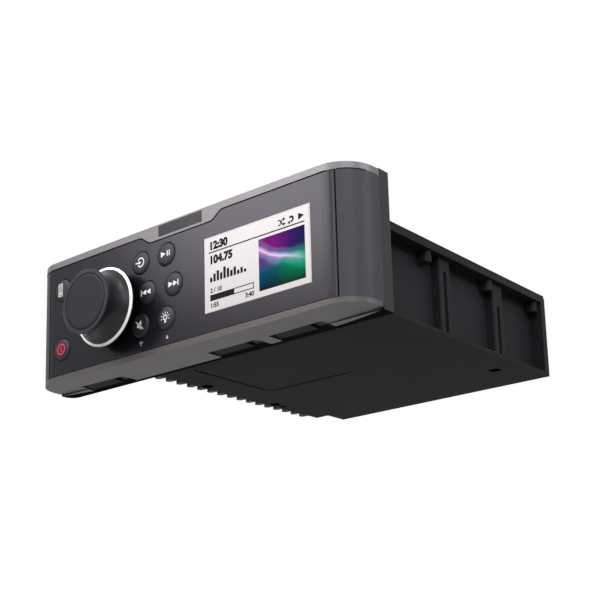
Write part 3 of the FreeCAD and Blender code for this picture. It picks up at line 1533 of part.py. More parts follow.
def make_pillars():
    """Four pillars between the bottom plate and the main board."""
    places = [
        ("sink_inner + pillar_inset", "board_front_y + pillar_margin"),
        ("side_inner - pillar_inset", "board_front_y + pillar_margin"),
        ("corner_inner + pillar_inset", "board_back_y - pillar_margin"),
        ("side_inner - pillar_inset", "board_back_y - pillar_margin"),
    ]
    pieces = [post(f"Pillar{number}", x, y, "plate_thickness", "pillar_radius", "board_z - plate_thickness")
              for number, (x, y) in enumerate(places)]
    register(gather("Pillars", pieces), "board_pillars")


def make_chips():
    """Two power amplifier chips, clamped flat against the heat sink."""
    pieces = []
    for number, middle in enumerate(("chip_first_y", "chip_second_y")):
        pieces.append(block(f"Chip{number}", SINK_INNER, f"{SINK_INNER} + chip_thickness",
                            f"{middle} - chip_width / 2", f"{middle} + chip_width / 2",
                            "board_z + board_thickness", "board_z + board_thickness + chip_height"))
    register(gather("AmplifierChips", pieces), "amplifier_chips")


def make_capacitors():
    """Three large reservoir capacitors standing on the board."""
    pieces = [post(f"Capacitor{number}", f"can_first_x + {number} * can_pitch", "can_y",
                   "board_z + board_thickness", "can_radius", "can_height") for number in range(3)]
    register(gather("Capacitors", pieces), "capacitors")


def make_coil():
    """Ring-shaped filter coil."""
    body = new_body("filter_coil")
    low = "(board_z + board_thickness)"
    pad(body, "XY", low, f"{low} + coil_height", circles=[("coil_x", "coil_y", "coil_radius"),
                                                         ("coil_x", "coil_y", "coil_hole_radius")])
    round_edges(body, "coil_edge", lambda edge: flat(edge, "Z"), "Chamfer")
    register(body, "filter_coil")


def make_tuner():
    """Screened tuner can on the board."""
    body = new_body("tuner_can")
    low = "(board_z + board_thickness)"
    pad(body, "XY", low, f"{low} + tuner_height",
        [rectangle("tuner_x - tuner_width / 2", "tuner_x + tuner_width / 2",
                   "tuner_y - tuner_depth / 2", "tuner_y + tuner_depth / 2")])
    register(body, "tuner_can")


def make_case_screws():
    """Screws of the bottom plate and the lid, with heads let in flush."""
    pieces = []
    length = "case_screw_length - side_gap"
    for number, (x, y) in enumerate(BASE_SCREWS):
        pieces.append(post(f"BaseHead{number}", x, y, "head_sink", "case_screw_head",
                           "screw_head_height - head_sink"))
        pieces.append(post(f"BaseStem{number}", x, y, "screw_head_height", "screw_radius",
                           f"plate_thickness - screw_head_height + {length}"))
    for number, (x, y) in enumerate(LID_SCREWS):
        seat = "(chassis_height - screw_head_height)"
        pieces.append(post(f"LidHead{number}", x, y, seat, "case_screw_head", "screw_head_height"))
        pieces.append(post(f"LidStem{number}", x, y, f"{LID_LOW} - ({length})", "screw_radius",
                           f"{seat} - {LID_LOW} + {length}"))
    register(gather("CaseScrews", pieces, "Part::MultiFuse"), "case_screws")


def make_flange_screws():
    """Four screws that hold the flange to the chassis, behind the door."""
    pieces = []
    sunk = "(flange_screw_head_height + side_gap - flange_thickness)"
    for number, (x, z) in enumerate(FLANGE_SCREWS):
        pieces.append(rod(f"FlangeHead{number}", x, f"{sunk} - flange_screw_head_height", z,
                          "flange_screw_head", "flange_screw_head_height"))
        pieces.append(rod(f"FlangeStem{number}", x, sunk, z, "flange_screw_radius",
                          f"flange_screw_reach - flange_screw_tip - {sunk}"))
    register(gather("FlangeScrews", pieces, "Part::MultiFuse"), "flange_screws")


def make_rear_screws():
    """Four screws that hold the rear panel to blocks inside the case corners."""
    pieces = []
    for number, (x, z) in enumerate(REAR_SCREWS):
        pieces.append(rod(f"RearHead{number}", x, REAR_FACE, z, "screw_head_radius", "screw_head_height"))
        pieces.append(rod(f"RearStem{number}", x, f"{REAR_FACE} - case_screw_length", z, "screw_radius",
                          "case_screw_length"))
    register(gather("RearScrews", pieces, "Part::MultiFuse"), "rear_screws")


def make_corner_blocks():
    """Blocks behind the rear panel, one in each corner, that its screws bite into."""
    pieces = []
    front = f"({REAR_FACE} - rear_panel_thickness - corner_block_depth)"
    back = f"({REAR_FACE} - rear_panel_thickness)"
    for number, (x, z) in enumerate(REAR_SCREWS):
        half = "corner_block / 2"
        cube = block(f"CornerBlock{number}", f"{x} - {half}", f"{x} + {half}", front, back,
                     f"{z} - {half}", f"{z} + {half}")
        hole = rod(f"CornerHole{number}", x, front, z, "screw_radius + running_fit",
                   "corner_block_depth")
        cut = fresh("Part::Cut", f"Corner{number}")
        cut.Base = cube
        cut.Tool = hole
        pieces.append(cut)
    register(gather("CornerBlocks", pieces), "corner_blocks")


def check_and_write():
    """Stop on any failed object or bad solid, then write one file per piece."""
    document.recompute()
    failed = [item.Name for item in document.Objects
              if "Invalid" in item.State or "Error" in item.State]
    if failed:
        raise RuntimeError("failed: " + ", ".join(failed))
    for item in nodes:
        if item.Shape.isNull() or not item.Shape.isValid() or not item.Shape.Solids:
            raise RuntimeError("bad shape: " + item.Label)
    os.makedirs("parts", exist_ok=True)
    for item in nodes:
        item.Shape.exportStep(f"parts/{item.Label}.step")
    print(len(nodes), "pieces written")


fill_sheet()
make_flange()
make_foam()
make_bezel()
make_top_trim()
make_name_plate()
make_bottom_trim()
make_door()
make_hinge_pins()
make_door_back()
make_door_screws()
make_lens()
make_display()
make_door_board()
make_switches()
for button_name, (button_x, button_z) in BUTTONS.items():
    make_button(button_name, button_x, button_z)
make_collar()
make_encoder()
make_plunger()
make_shaft()
make_knob()
make_knob_ring()
make_knob_cap()
make_catch_plates()
make_catches()
make_bay_seal()
make_base()
make_lid()
make_side_frame()
make_heat_sink()
make_rear_panel()
for socket_name, (socket_x, socket_height) in zip(("power_socket", "speaker_socket"), PLUGS):
    make_plug_socket(socket_name, socket_x, socket_height)
make_jacks()
make_usb()
make_network()
make_bay()
make_bay_socket()
make_main_board()
make_pillars()
make_chips()
make_capacitors()
make_coil()
make_tuner()
make_case_screws()
make_flange_screws()
make_rear_screws()
make_corner_blocks()
check_and_write()
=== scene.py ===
"""Looks for the marine stereo: finishes for every piece, and the small parts that need finer modelling."""

import math

import bmesh
import bpy
from mathutils import Matrix, Vector


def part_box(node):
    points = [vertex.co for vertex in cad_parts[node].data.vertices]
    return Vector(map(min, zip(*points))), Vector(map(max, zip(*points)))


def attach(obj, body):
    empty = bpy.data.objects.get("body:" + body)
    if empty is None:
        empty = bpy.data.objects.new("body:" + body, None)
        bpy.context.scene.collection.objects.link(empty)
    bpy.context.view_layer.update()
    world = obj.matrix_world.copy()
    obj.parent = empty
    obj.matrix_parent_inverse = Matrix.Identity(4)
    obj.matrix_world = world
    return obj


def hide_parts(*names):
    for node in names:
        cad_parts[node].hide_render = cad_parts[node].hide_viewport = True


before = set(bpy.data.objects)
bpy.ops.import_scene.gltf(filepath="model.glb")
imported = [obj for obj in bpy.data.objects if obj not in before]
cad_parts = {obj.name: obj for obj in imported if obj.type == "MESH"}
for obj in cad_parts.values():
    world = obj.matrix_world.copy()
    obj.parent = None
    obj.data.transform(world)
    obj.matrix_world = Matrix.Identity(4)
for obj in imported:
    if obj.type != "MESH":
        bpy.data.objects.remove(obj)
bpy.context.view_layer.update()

MM = 0.001

# Places are in millimetres: x across the panel, y to the rear, z up.
BUTTON_PLACES = {
    "button_source": (-22.5, 46.5),
    "button_play": (-5.8, 46.5),
    "button_previous": (-18.2, 31.0),
    "button_next": (-1.2, 31.0),
    "button_mute": (-22.8, 15.9),
    "button_lamp": (-6.1, 15.9),
    "button_power": (-77.6, 15.9),
    "button_open": (-77.6, 46.5),
}
KNOB_X, KNOB_Z = -39.4, 27.0
HALF_PANEL, END_RADIUS = 100.5, 16.0
FLANGE_FRONT = -56.3
FLANGE_REAR = -48.95

# The picture field on the display: left, foot, right and top.
PICTURE_BOX = (49.7, 15.0, 75.2, 38.4)

# The line pressed into the base, and the screws of the base.
LINE_LEFT, LINE_FRONT, LINE_RIGHT, LINE_BACK = -18.5, -44.9, 33.9, 10.75
LINE_CORNER, LINE_HALF = 5.7, 0.6
BASE_SCREWS = ((-34.5, 30.3 + FLANGE_REAR), (-34.5, 82.7 + FLANGE_REAR), (85.2, 107.0 + FLANGE_REAR))
BASE_SCREW_HOLE = 3.0


def edges(node):
    """Lowest and highest corner of a CAD node, in millimetres."""
    low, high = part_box(node)
    return [value / MM for value in low], [value / MM for value in high]


DOOR_FRONT = edges("door")[0][1]


# Shader helpers


def blank_material(name):
    """A new material, with the place on the object as its coordinates."""
    material = bpy.data.materials.new(name)
    material.use_nodes = True
    tree = material.node_tree
    shader = tree.nodes["Principled BSDF"]
    place = tree.nodes.new("ShaderNodeTexCoord")
    return material, tree, shader, place.outputs["Object"]


def add_noise(tree, coordinates, scale, detail, rough=0.5):
    noise = tree.nodes.new("ShaderNodeTexNoise")
    noise.inputs["Scale"].default_value = scale
    noise.inputs["Detail"].default_value = detail
    noise.inputs["Roughness"].default_value = rough
    tree.links.new(coordinates, noise.inputs["Vector"])
    return noise.outputs["Fac"]


def add_ramp(tree, factor, stops):
    """A colour ramp; stops are (position, (red, green, blue))."""
    ramp = tree.nodes.new("ShaderNodeValToRGB")
    while len(ramp.color_ramp.elements) < len(stops):
        ramp.color_ramp.elements.new(0.5)
    for element, (position, colour) in zip(ramp.color_ramp.elements, stops):
        element.position = position
        element.color = (*colour, 1)
    tree.links.new(factor, ramp.inputs["Fac"])
    return ramp.outputs["Color"]


def add_range(tree, factor, low, high):
    """A number that runs from low to high as the factor runs from 0 to 1."""
    spread = tree.nodes.new("ShaderNodeMapRange")
    spread.inputs["To Min"].default_value = low
    spread.inputs["To Max"].default_value = high
    tree.links.new(factor, spread.inputs["Value"])
    return spread.outputs["Result"]


def add_bump(tree, shader, height, strength, distance):
    bump = tree.nodes.new("ShaderNodeBump")
    bump.inputs["Strength"].default_value = strength
    bump.inputs["Distance"].default_value = distance
    tree.links.new(height, bump.inputs["Height"])
    tree.links.new(bump.outputs["Normal"], shader.inputs["Normal"])


def add_math(tree, operation, first, second=0):
    """One sum of the shader; each side is a number or a socket."""
    node = tree.nodes.new("ShaderNodeMath")
    node.operation = operation
    for socket, value in zip(node.inputs, (first, second)):
        if isinstance(value, (int, float)):
            socket.default_value = value
        else:
            tree.links.new(value, socket)
    return node.outputs["Value"]


def add_mix(tree, factor, first, second, blend="MIX"):
    """Mix two colours; each value is a number, a colour or a socket."""
    mix = tree.nodes.new("ShaderNodeMixRGB")
    mix.blend_type = blend
    for socket, value in zip(mix.inputs, (factor, first, second)):
        if isinstance(value, (int, float, tuple)):
            socket.default_value = value
        else:
            tree.links.new(value, socket)
    return mix.outputs["Color"]


def split_place(tree):
    """The place on the object in the shader, as x, y and z in metres."""
    split = tree.nodes.new("ShaderNodeSeparateXYZ")
    tree.links.new(tree.nodes["Texture Coordinate"].outputs["Object"], split.inputs["Vector"])
    return split.outputs["X"], split.outputs["Y"], split.outputs["Z"]


def shade_of(colour, factor):
    return tuple(min(1.0, value * factor) for value in colour)


def paint(tree, shader, tint, glow=None):
    """Give a shader its colour, and let it glow with the same colour where a strength is given."""
    tree.links.new(tint, shader.inputs["Base Color"])
    if glow is not None:
        tree.links.new(tint, shader.inputs["Emission Color"])
        shader.inputs["Emission Strength"].default_value = glow


# Kinds of finish


def moulded(name, colour, rough, grain=2600, depth=0.12, spread=0.16, specular=0.5, gloss=(1, 1, 1)):
    """Moulded plastic or powder coat: fine grain, slight unevenness of colour and gloss."""
    material, tree, shader, place = blank_material(name)
    broad = add_noise(tree, place, 28, 2)
    paint(tree, shader, add_ramp(tree, broad, [(0.3, shade_of(colour, 1 - spread)),
                                               (0.7, shade_of(colour, 1 + spread))]))
    fine = add_noise(tree, place, grain, 2, 0.6)
    tree.links.new(add_range(tree, fine, rough - 0.06, rough + 0.08), shader.inputs["Roughness"])
    shader.inputs["Specular IOR Level"].default_value = specular
    shader.inputs["Specular Tint"].default_value = (*gloss, 1)
    add_bump(tree, shader, fine, depth, 0.0001)
    return material


def lacquered(name, colour, rough, metallic, speck=2600, coat=0.25, specular=0.5):
    """Metallic lacquer: bright flakes in a darker ground under a thin clear coat."""
    material, tree, shader, place = blank_material(name)
    flakes = tree.nodes.new("ShaderNodeTexVoronoi")
    flakes.inputs["Scale"].default_value = speck
    tree.links.new(place, flakes.inputs["Vector"])
    paint(tree, shader, add_ramp(tree, flakes.outputs["Color"], [
        (0.1, shade_of(colour, 0.86)), (0.55, colour), (0.95, shade_of(colour, 1.16))]))
    shader.inputs["Metallic"].default_value = metallic
    broad = add_noise(tree, place, 60, 3)
    tree.links.new(add_range(tree, broad, rough - 0.05, rough + 0.07), shader.inputs["Roughness"])
    shader.inputs["Specular IOR Level"].default_value = specular
    shader.inputs["Coat Weight"].default_value = coat
    shader.inputs["Coat Roughness"].default_value = 0.25
    add_bump(tree, shader, flakes.outputs["Distance"], 0.05, 0.00005)
    return material


def brushed(name, colour, rough=0.28, stretch=(40, 40, 1800)):
    """Drawn or turned metal: long fine lines along one direction."""
    material, tree, shader, place = blank_material(name)
    mapping = tree.nodes.new("ShaderNodeMapping")
    mapping.inputs["Scale"].default_value = stretch
    tree.links.new(place, mapping.inputs["Vector"])
    lines = add_noise(tree, mapping.outputs["Vector"], 1.0, 4)
    paint(tree, shader, add_ramp(tree, lines, [(0.25, shade_of(colour, 0.8)), (0.75, shade_of(colour, 1.15))]))
    tree.links.new(add_range(tree, lines, rough - 0.08, rough + 0.12), shader.inputs["Roughness"])
    shader.inputs["Metallic"].default_value = 1.0
    add_bump(tree, shader, lines, 0.12, 0.00005)
    return material


def rubbery(name, colour, rough, specular=0.3):
    """Rubber or foam: small soft cells."""
    material, tree, shader, place = blank_material(name)
    cells = tree.nodes.new("ShaderNodeTexVoronoi")
    cells.inputs["Scale"].default_value = 2400
    tree.links.new(place, cells.inputs["Vector"])
    paint(tree, shader, add_ramp(tree, cells.outputs["Distance"], [
        (0.0, shade_of(colour, 0.6)), (0.7, shade_of(colour, 1.3))]))
    shader.inputs["Roughness"].default_value = rough
    shader.inputs["Specular IOR Level"].default_value = specular
    add_bump(tree, shader, cells.outputs["Distance"], 0.4, 0.0002)
    return material


def printed(name, colour, glow=0.0, specular=0.1):
    """Ink or a lit symbol, with slight unevenness; a glow given to ink is painted light."""
    material, tree, shader, place = blank_material(name)
    fine = add_noise(tree, place, 3200, 2)
    paint(tree, shader, add_ramp(tree, fine, [(0.2, shade_of(colour, 0.88)), (0.8, colour)]), glow)
    shader.inputs["Roughness"].default_value = 0.5
    shader.inputs["Specular IOR Level"].default_value = specular
    return material


SCREEN_GLOW = 0.22


def screen_white(name):
    """Lit background of the display: warm white, a little unevenly lit, under a clear window."""
    material, tree, shader, place = blank_material(name)
    broad = add_noise(tree, place, 22, 2)
    tint = add_ramp(tree, broad, [(0.3, (0.445, 0.432, 0.424)), (0.7, (0.475, 0.460, 0.451))])
    paint(tree, shader, tint, SCREEN_GLOW)
    fine = add_noise(tree, place, 3000, 1)
    tree.links.new(add_range(tree, fine, 0.44, 0.50), shader.inputs["Roughness"])
    shader.inputs["Specular IOR Level"].default_value = 0.05
    return material


def cover_picture(name):
    """Streams of coloured light for the picture field: a pale sweep over a dark ground."""
    material, tree, shader, place = blank_material(name)
    left, foot, right, top = [value * MM for value in PICTURE_BOX]
    width, height = right - left, top - foot
    mapping = tree.nodes.new("ShaderNodeMapping")
    mapping.inputs["Location"].default_value = (-left / width, 0, -foot / height)
    mapping.inputs["Scale"].default_value = (1 / width, 1, 1 / height)
    tree.links.new(place, mapping.inputs["Vector"])
    split = tree.nodes.new("ShaderNodeSeparateXYZ")
    tree.links.new(mapping.outputs["Vector"], split.inputs["Vector"])
    across, up = split.outputs["X"], split.outputs["Z"]
    cloud = add_noise(tree, mapping.outputs["Vector"], 1.3, 2)

    # ground: violet above, green below, darker at the foot
    upper = add_ramp(tree, across, [(0.0, (0.10, 0.004, 0.09)), (0.35, (0.10, 0.004, 0.11)),
                                    (0.7, (0.02, 0.004, 0.07)), (1.0, (0.002, 0.006, 0.035))])
    lower = add_ramp(tree, across, [(0.0, (0.0, 0.045, 0.11)), (0.35, (0.0, 0.055, 0.07)),
                                    (0.7, (0.0, 0.13, 0.05)), (1.0, (0.0, 0.15, 0.06))])
    lift = add_ramp(tree, add_math(tree, "ADD", up, add_math(tree, "MULTIPLY", cloud, 0.3)),
                    [(0.5, (0, 0, 0)), (0.85, (1, 1, 1))])
    ground = add_mix(tree, lift, lower, upper)
    depth = add_ramp(tree, up, [(0.0, (0.10, 0.14, 0.14)), (0.4, (1, 1, 1))])
    ground = add_mix(tree, 1.0, ground, depth, "MULTIPLY")

    # sweep: bright where the place lies near a falling course, in fine strands, and dim at the right
    course = add_math(tree, "MULTIPLY", add_math(tree, "POWER", across, 0.8), -0.42)
    course = add_math(tree, "ADD", course, 0.80)
    apart = add_math(tree, "SUBTRACT", up, course)
    waver = add_math(tree, "MULTIPLY", add_math(tree, "SUBTRACT", cloud, 0.5), 0.6)
    apart = add_math(tree, "ADD", apart, waver)
    sweep = add_ramp(tree, add_math(tree, "ABSOLUTE", apart), [
        (0.0, (0.50, 0.47, 0.52)), (0.03, (0.28, 0.22, 0.32)), (0.08, (0.02, 0.11, 0.14)), (0.2, (0, 0, 0))])
    strands = add_math(tree, "SINE", add_math(tree, "MULTIPLY", apart, 45))
    strands = add_math(tree, "MULTIPLY", add_math(tree, "ADD", strands, 1), 0.5)
    sweep = add_mix(tree, 1.0, sweep, add_range(tree, strands, 0.55, 1.0), "MULTIPLY")
    fade = add_ramp(tree, across, [(0.0, (1, 0.9, 1)), (0.55, (0.9, 1, 1)), (1.0, (0.06, 0.35, 0.25))])
    sweep = add_mix(tree, 1.0, sweep, fade, "MULTIPLY")

    paint(tree, shader, add_mix(tree, 1.0, ground, sweep, "ADD"), SCREEN_GLOW)
    shader.inputs["Roughness"].default_value = 0.5
    shader.inputs["Specular IOR Level"].default_value = 0.015
    return material


def board_green(name):
    """Circuit board: solder resist with faint copper tracks under it."""
    material, tree, shader, place = blank_material(name)
    bricks = tree.nodes.new("ShaderNodeTexBrick")
    bricks.inputs["Scale"].default_value = 160
    bricks.inputs["Mortar Size"].default_value = 0.03
    bricks.inputs["Color1"].default_value = (0.01, 0.10, 0.05, 1)
    bricks.inputs["Color2"].default_value = (0.012, 0.13, 0.06, 1)
    bricks.inputs["Mortar"].default_value = (0.03, 0.22, 0.10, 1)
    tree.links.new(place, bricks.inputs["Vector"])
    paint(tree, shader, bricks.outputs["Color"])
    shader.inputs["Roughness"].default_value = 0.35
    add_bump(tree, shader, bricks.outputs["Fac"], 0.2, 0.00003)
    return material


# Painted shade on parts of a finish


def paint_shade_where(tree, where):
    """Where a mask is 1, paint shade on a finish: make it near black and take its sheen."""
    shader = tree.nodes["Principled BSDF"]
    plain = shader.inputs["Base Color"].links[0].from_socket
    # The near-black colour here is painted shade.
    tree.links.new(add_mix(tree, where, plain, (0.002, 0.002, 0.002, 1)), shader.inputs["Base Color"])
    for socket in (shader.inputs["Specular IOR Level"], shader.inputs["Metallic"]):
        if socket.default_value > 0:
            tree.links.new(add_range(tree, where, socket.default_value, 0.0), socket)


def sum_of_squares(tree, first, second):
    return add_math(tree, "ADD", add_math(tree, "MULTIPLY", first, first),
                    add_math(tree, "MULTIPLY", second, second))


def paint_shade_in_line(material):
    """Paint shade into the line pressed into the base, back along its left, round a corner and to the right,
    and into the holes of the base's screws."""
    tree = material.node_tree
    x, y, _ = split_place(tree)
    past_left = add_math(tree, "MAXIMUM", add_math(tree, "SUBTRACT", (LINE_LEFT + LINE_CORNER) * MM, x))
    past_back = add_math(tree, "MAXIMUM", add_math(tree, "SUBTRACT", y, (LINE_BACK - LINE_CORNER) * MM))
    away = add_math(tree, "SQRT", sum_of_squares(tree, past_left, past_back))
    away = add_math(tree, "ABSOLUTE", add_math(tree, "SUBTRACT", away, LINE_CORNER * MM))
    near = add_math(tree, "LESS_THAN", away, LINE_HALF * MM)
    near = add_math(tree, "MULTIPLY", near, add_math(tree, "GREATER_THAN", y, LINE_FRONT * MM))
    near = add_math(tree, "MULTIPLY", near, add_math(tree, "LESS_THAN", x, LINE_RIGHT * MM))
    for hole_x, hole_y in BASE_SCREWS:
        squares = sum_of_squares(tree, add_math(tree, "SUBTRACT", x, hole_x * MM),
                                 add_math(tree, "SUBTRACT", y, hole_y * MM))
        inside = add_math(tree, "LESS_THAN", squares, (BASE_SCREW_HOLE * MM) ** 2)
        near = add_math(tree, "MAXIMUM", near, inside)
    paint_shade_where(tree, near)


def paint_shade_at_end(material, start, length, back, reach):
    """Paint shade on a trim's rear edge where it curves forward, from start to the right, in millimetres."""
    tree = material.node_tree
    x, y, _ = split_place(tree)
    past = add_math(tree, "DIVIDE", add_math(tree, "SUBTRACT", x, start * MM), length * MM)
    curve = add_math(tree, "POWER", add_math(tree, "MAXIMUM", past), 1.6)
    curve = add_math(tree, "MULTIPLY", curve, reach * MM)
    paint_shade_where(tree, add_math(tree, "GREATER_THAN", add_math(tree, "ADD", y, curve), back * MM))


def dull_below(material, height, dull):
    """Let a finish lose its sheen below a height in millimetres."""
    tree = material.node_tree
    over = add_math(tree, "GREATER_THAN", split_place(tree)[2], height * MM)
    sheen = tree.nodes["Principled BSDF"].inputs["Specular IOR Level"]
    tree.links.new(add_range(tree, over, dull, sheen.default_value), sheen)


# Finishes

COAT_BLACK = (0.0180, 0.0176, 0.0158)

FASCIA = moulded("fascia charcoal", (0.0052, 0.0050, 0.0072), rough=0.22, grain=3000, depth=0.05, spread=0.05,
                 specular=0.165, gloss=(0.95, 0.91, 1.0))
BEZEL = moulded("bezel charcoal", (0.009, 0.0087, 0.0115), rough=0.48, grain=3000, depth=0.08, spread=0.05,
                specular=0.29, gloss=(0.94, 0.92, 1.0))
# Painted shade: the bezel loses its sheen below 3 mm, so that its catches under the lower trim render dark.
dull_below(BEZEL, 3.0, 0.02)
COATED = moulded("black coated steel", COAT_BLACK, rough=0.5, grain=2200, depth=0.2, spread=0.12, specular=0.01)
BASE = moulded("black coated base", COAT_BLACK, rough=0.5, grain=2200, depth=0.2, spread=0.12, specular=0.01)
# Painted shade in the base's pressed line and round its screw holes.
paint_shade_in_line(BASE)
SIDE = moulded("black side moulding", (0.013, 0.013, 0.0155), rough=0.42, grain=1800, depth=0.2, spread=0.1,
               specular=0.03)
FLANGE = moulded("black flange moulding", (0.013, 0.0128, 0.0140), rough=0.46, grain=2400, depth=0.2,
                 spread=0.1, specular=0.15)
dull_below(FLANGE, 0.1, 0.0)
ANODISED = moulded("black anodised casting", (0.014, 0.014, 0.015), rough=0.5, grain=1400, depth=0.35,
                   spread=0.2, specular=0.15)
GLOSS = moulded("black gloss moulding", (0.005, 0.005, 0.006), rough=0.3, grain=1500, depth=0.02, spread=0.1,
                specular=0.12)
# The collar is a black part, made near black with almost no sheen: this paints the shade of the recess under
# the knob's ring.
COLLAR_PAINTED_SHADE = moulded("black collar with painted shade", (0.002, 0.002, 0.003), rough=0.5, grain=2500, depth=0.1, spread=0.1,
                 specular=0.03)
BUTTON = moulded("button charcoal", (0.013, 0.0125, 0.0145), rough=0.42, grain=2600, depth=0.1, spread=0.06,
                 specular=0.15)
KNOB = moulded("knob charcoal", (0.009, 0.009, 0.0115), rough=0.34, grain=3400, depth=0.06, spread=0.04,
               specular=0.17)
CAP = moulded("knob cap charcoal", (0.008, 0.0078, 0.0105), rough=0.40, grain=900, depth=0.05, spread=0.14,
              specular=0.11)
SOCKET = moulded("socket black", (0.016, 0.016, 0.017), rough=0.4, grain=1800, depth=0.15)
SILVER = lacquered("silver lacquer", (0.085, 0.081, 0.084), rough=0.42, metallic=0.3, coat=0.08)
# Painted shade: the lower trim has the upper trim's silver lacquer, given a darker and duller copy because it
# faces down.
SILVER_PAINTED_SHADE = lacquered("silver lacquer with painted shade", (0.050, 0.045, 0.042), rough=0.42, metallic=0.15, coat=0.02,
                       specular=0.25)
# Painted shade on the right end of the lower trim's rear edge, so that the edge seems to curve forward.
paint_shade_at_end(SILVER_PAINTED_SHADE, start=72.0, length=29.0, back=-51.4, reach=5.6)
# Painted reflection: the polished silver ring is given a near-white base with no metal, so that it reads bright
# from every side.
RING = lacquered("silver ring with painted reflection", (0.92, 0.92, 0.93), rough=0.35, metallic=0.0, speck=6000)
STEEL = brushed("plated steel", (0.52, 0.52, 0.53))
STEEL_DARK = moulded("blackened steel", (0.006, 0.006, 0.007), rough=0.4, grain=2400, depth=0.1, specular=0.0)
BRASS = brushed("gilt contact", (0.70, 0.50, 0.20), rough=0.25)
NICKEL = brushed("nickel shell", (0.60, 0.58, 0.55), rough=0.22)
FOAM = rubbery("sealing foam", (0.03, 0.03, 0.03), rough=0.9)
SEAL = rubbery("seal rubber", (0.022, 0.022, 0.023), rough=0.6)
BOARD = board_green("circuit board")
SLEEVE = moulded("capacitor sleeve", (0.02, 0.02, 0.06), rough=0.3, grain=900, depth=0.05)
WINDING = brushed("enamelled wire", (0.45, 0.16, 0.04), rough=0.3, stretch=(2600, 2600, 60))
# Painted shade: a near-black line with no sheen, laid in seams, in the pressed line and round screw holes.
LINE = rubbery("painted seam shade", (0.003, 0.003, 0.004), rough=0.8, specular=0.0)
# Painted light: the white and pale symbols and the grey marks are print, given a faint glow so that they read
# brighter.
INK_WHITE_PAINTED_GLOW = printed("white symbol", (0.62, 0.61, 0.62), glow=0.18)
INK_OPEN_PAINTED_GLOW = printed("pale door mark", (0.44, 0.44, 0.42), glow=0.12)
INK_GREY_PAINTED_GLOW = printed("grey mark", (0.34, 0.34, 0.35), glow=0.08)
INK_DARK = printed("screen ink", (0.010, 0.009, 0.011), specular=0.02)
INK_EDGE = printed("screen border", (0.46, 0.45, 0.45), glow=0.1)
INK_RED = printed("red lit symbol", (0.50, 0.035, 0.085), glow=0.12)
# Painted light: a faint glowing disc for the red light's glow on the power button.
PAINTED_RED_GLOW = printed("red glow", (0.055, 0.005, 0.010), glow=0.05)
SCREEN = screen_white("screen white")
PICTURE = cover_picture("screen picture")
JACK_RED = moulded("red jack insert", (0.45, 0.02, 0.02), rough=0.35)
JACK_WHITE = moulded("white jack insert", (0.70, 0.70, 0.68), rough=0.35)

CAD_FINISHES = {
    "mount_flange": FLANGE, "flange_foam": FOAM, "bezel": BEZEL, "trim_top": SILVER,
    "name_plate": GLOSS, "trim_bottom": SILVER_PAINTED_SHADE, "door": FASCIA, "hinge_pins": STEEL,
    "door_back": FLANGE, "door_screws": STEEL, "display_lens": SCREEN, "display_module": GLOSS,
    "door_board": BOARD, "key_switches": GLOSS, "knob_collar": COLLAR_PAINTED_SHADE, "encoder": NICKEL,
    "encoder_plunger": STEEL, "encoder_shaft": STEEL, "knob": KNOB, "knob_ring": RING,
    "knob_cap": CAP, "catch_plates": STEEL, "door_catches": NICKEL, "bay_seal": SEAL,
    "base_plate": BASE, "top_cover": COATED, "side_frame": SIDE, "heat_sink": ANODISED,
    "rear_panel": COATED, "power_socket": SOCKET, "speaker_socket": SOCKET,
    "line_jacks": SOCKET, "usb_socket": NICKEL, "network_socket": SOCKET, "media_bay": FLANGE,
    "bay_socket": SOCKET, "main_board": BOARD, "board_pillars": BRASS, "amplifier_chips": GLOSS,
    "capacitors": SLEEVE, "filter_coil": WINDING, "tuner_can": NICKEL, "case_screws": STEEL,
    "flange_screws": STEEL, "rear_screws": STEEL, "corner_blocks": STEEL,
}

for node_name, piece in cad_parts.items():
    finish = BUTTON if node_name in BUTTON_PLACES else CAD_FINISHES[node_name]
    piece.data.materials.clear()
    piece.data.materials.append(finish)


# Modelling helpers


def pick(piece):
    """Select one piece alone and make it the active one."""
    bpy.ops.object.select_all(action="DESELECT")
    piece.select_set(True)
    bpy.context.view_layer.objects.active = piece


def add_piece(name, data):
    """Put new data into the scene and pick it."""
    piece = bpy.data.objects.new(name, data)
    bpy.context.scene.collection.objects.link(piece)
    pick(piece)
    return piece


def add_curve_mesh(name, curve):
    """Put a curve or figures into the scene as a mesh."""
    add_piece(name, curve)
    bpy.ops.object.convert(target="MESH")
    return bpy.context.object


def add_polyline(curve, points):
    """Add a line of straight steps through points in metres."""
    spline = curve.splines.new("POLY")
    spline.points.add(len(points) - 1)
    for point, place in zip(spline.points, points):
        point.co = (*place, 1)
    return spline


def settle(piece, name, finish, body):
    """Name a finished piece, put its place in its mesh, and let it ride on a body."""
    pick(piece)
    bpy.ops.object.transform_apply(location=True, rotation=True, scale=True)
    piece.name = name
    piece.data.name = name
    piece.data.materials.clear()
    piece.data.materials.append(finish)
    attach(piece, body)
    return piece


def smooth(piece, degrees):
    pick(piece)
    bpy.ops.object.shade_smooth_by_angle(angle=math.radians(degrees))


def around(cx, cz, radius, degrees):
    """The point at an angle on a circle."""
    turn = math.radians(degrees)
    return cx + radius * math.cos(turn), cz + radius * math.sin(turn)


def loop(cx, cz, radius, count=24, start=0.0, sweep=360.0):
    """Points round a circle or along an arc."""
    steps = count if sweep == 360.0 else count - 1
    return [around(cx, cz, radius, start + sweep * i / steps) for i in range(count)]


def band(cx, cz, inner, outer, start, sweep, count=20):
    """Outline of part of a ring."""
    return loop(cx, cz, outer, count, start, sweep) + loop(cx, cz, inner, count, start, sweep)[::-1]


def box_outline(x0, z0, x1, z1):
    return [(x0, z0), (x1, z0), (x1, z1), (x0, z1)]


def triangle(tip, base, half):
    return [(base, -half), (tip, 0), (base, half)]


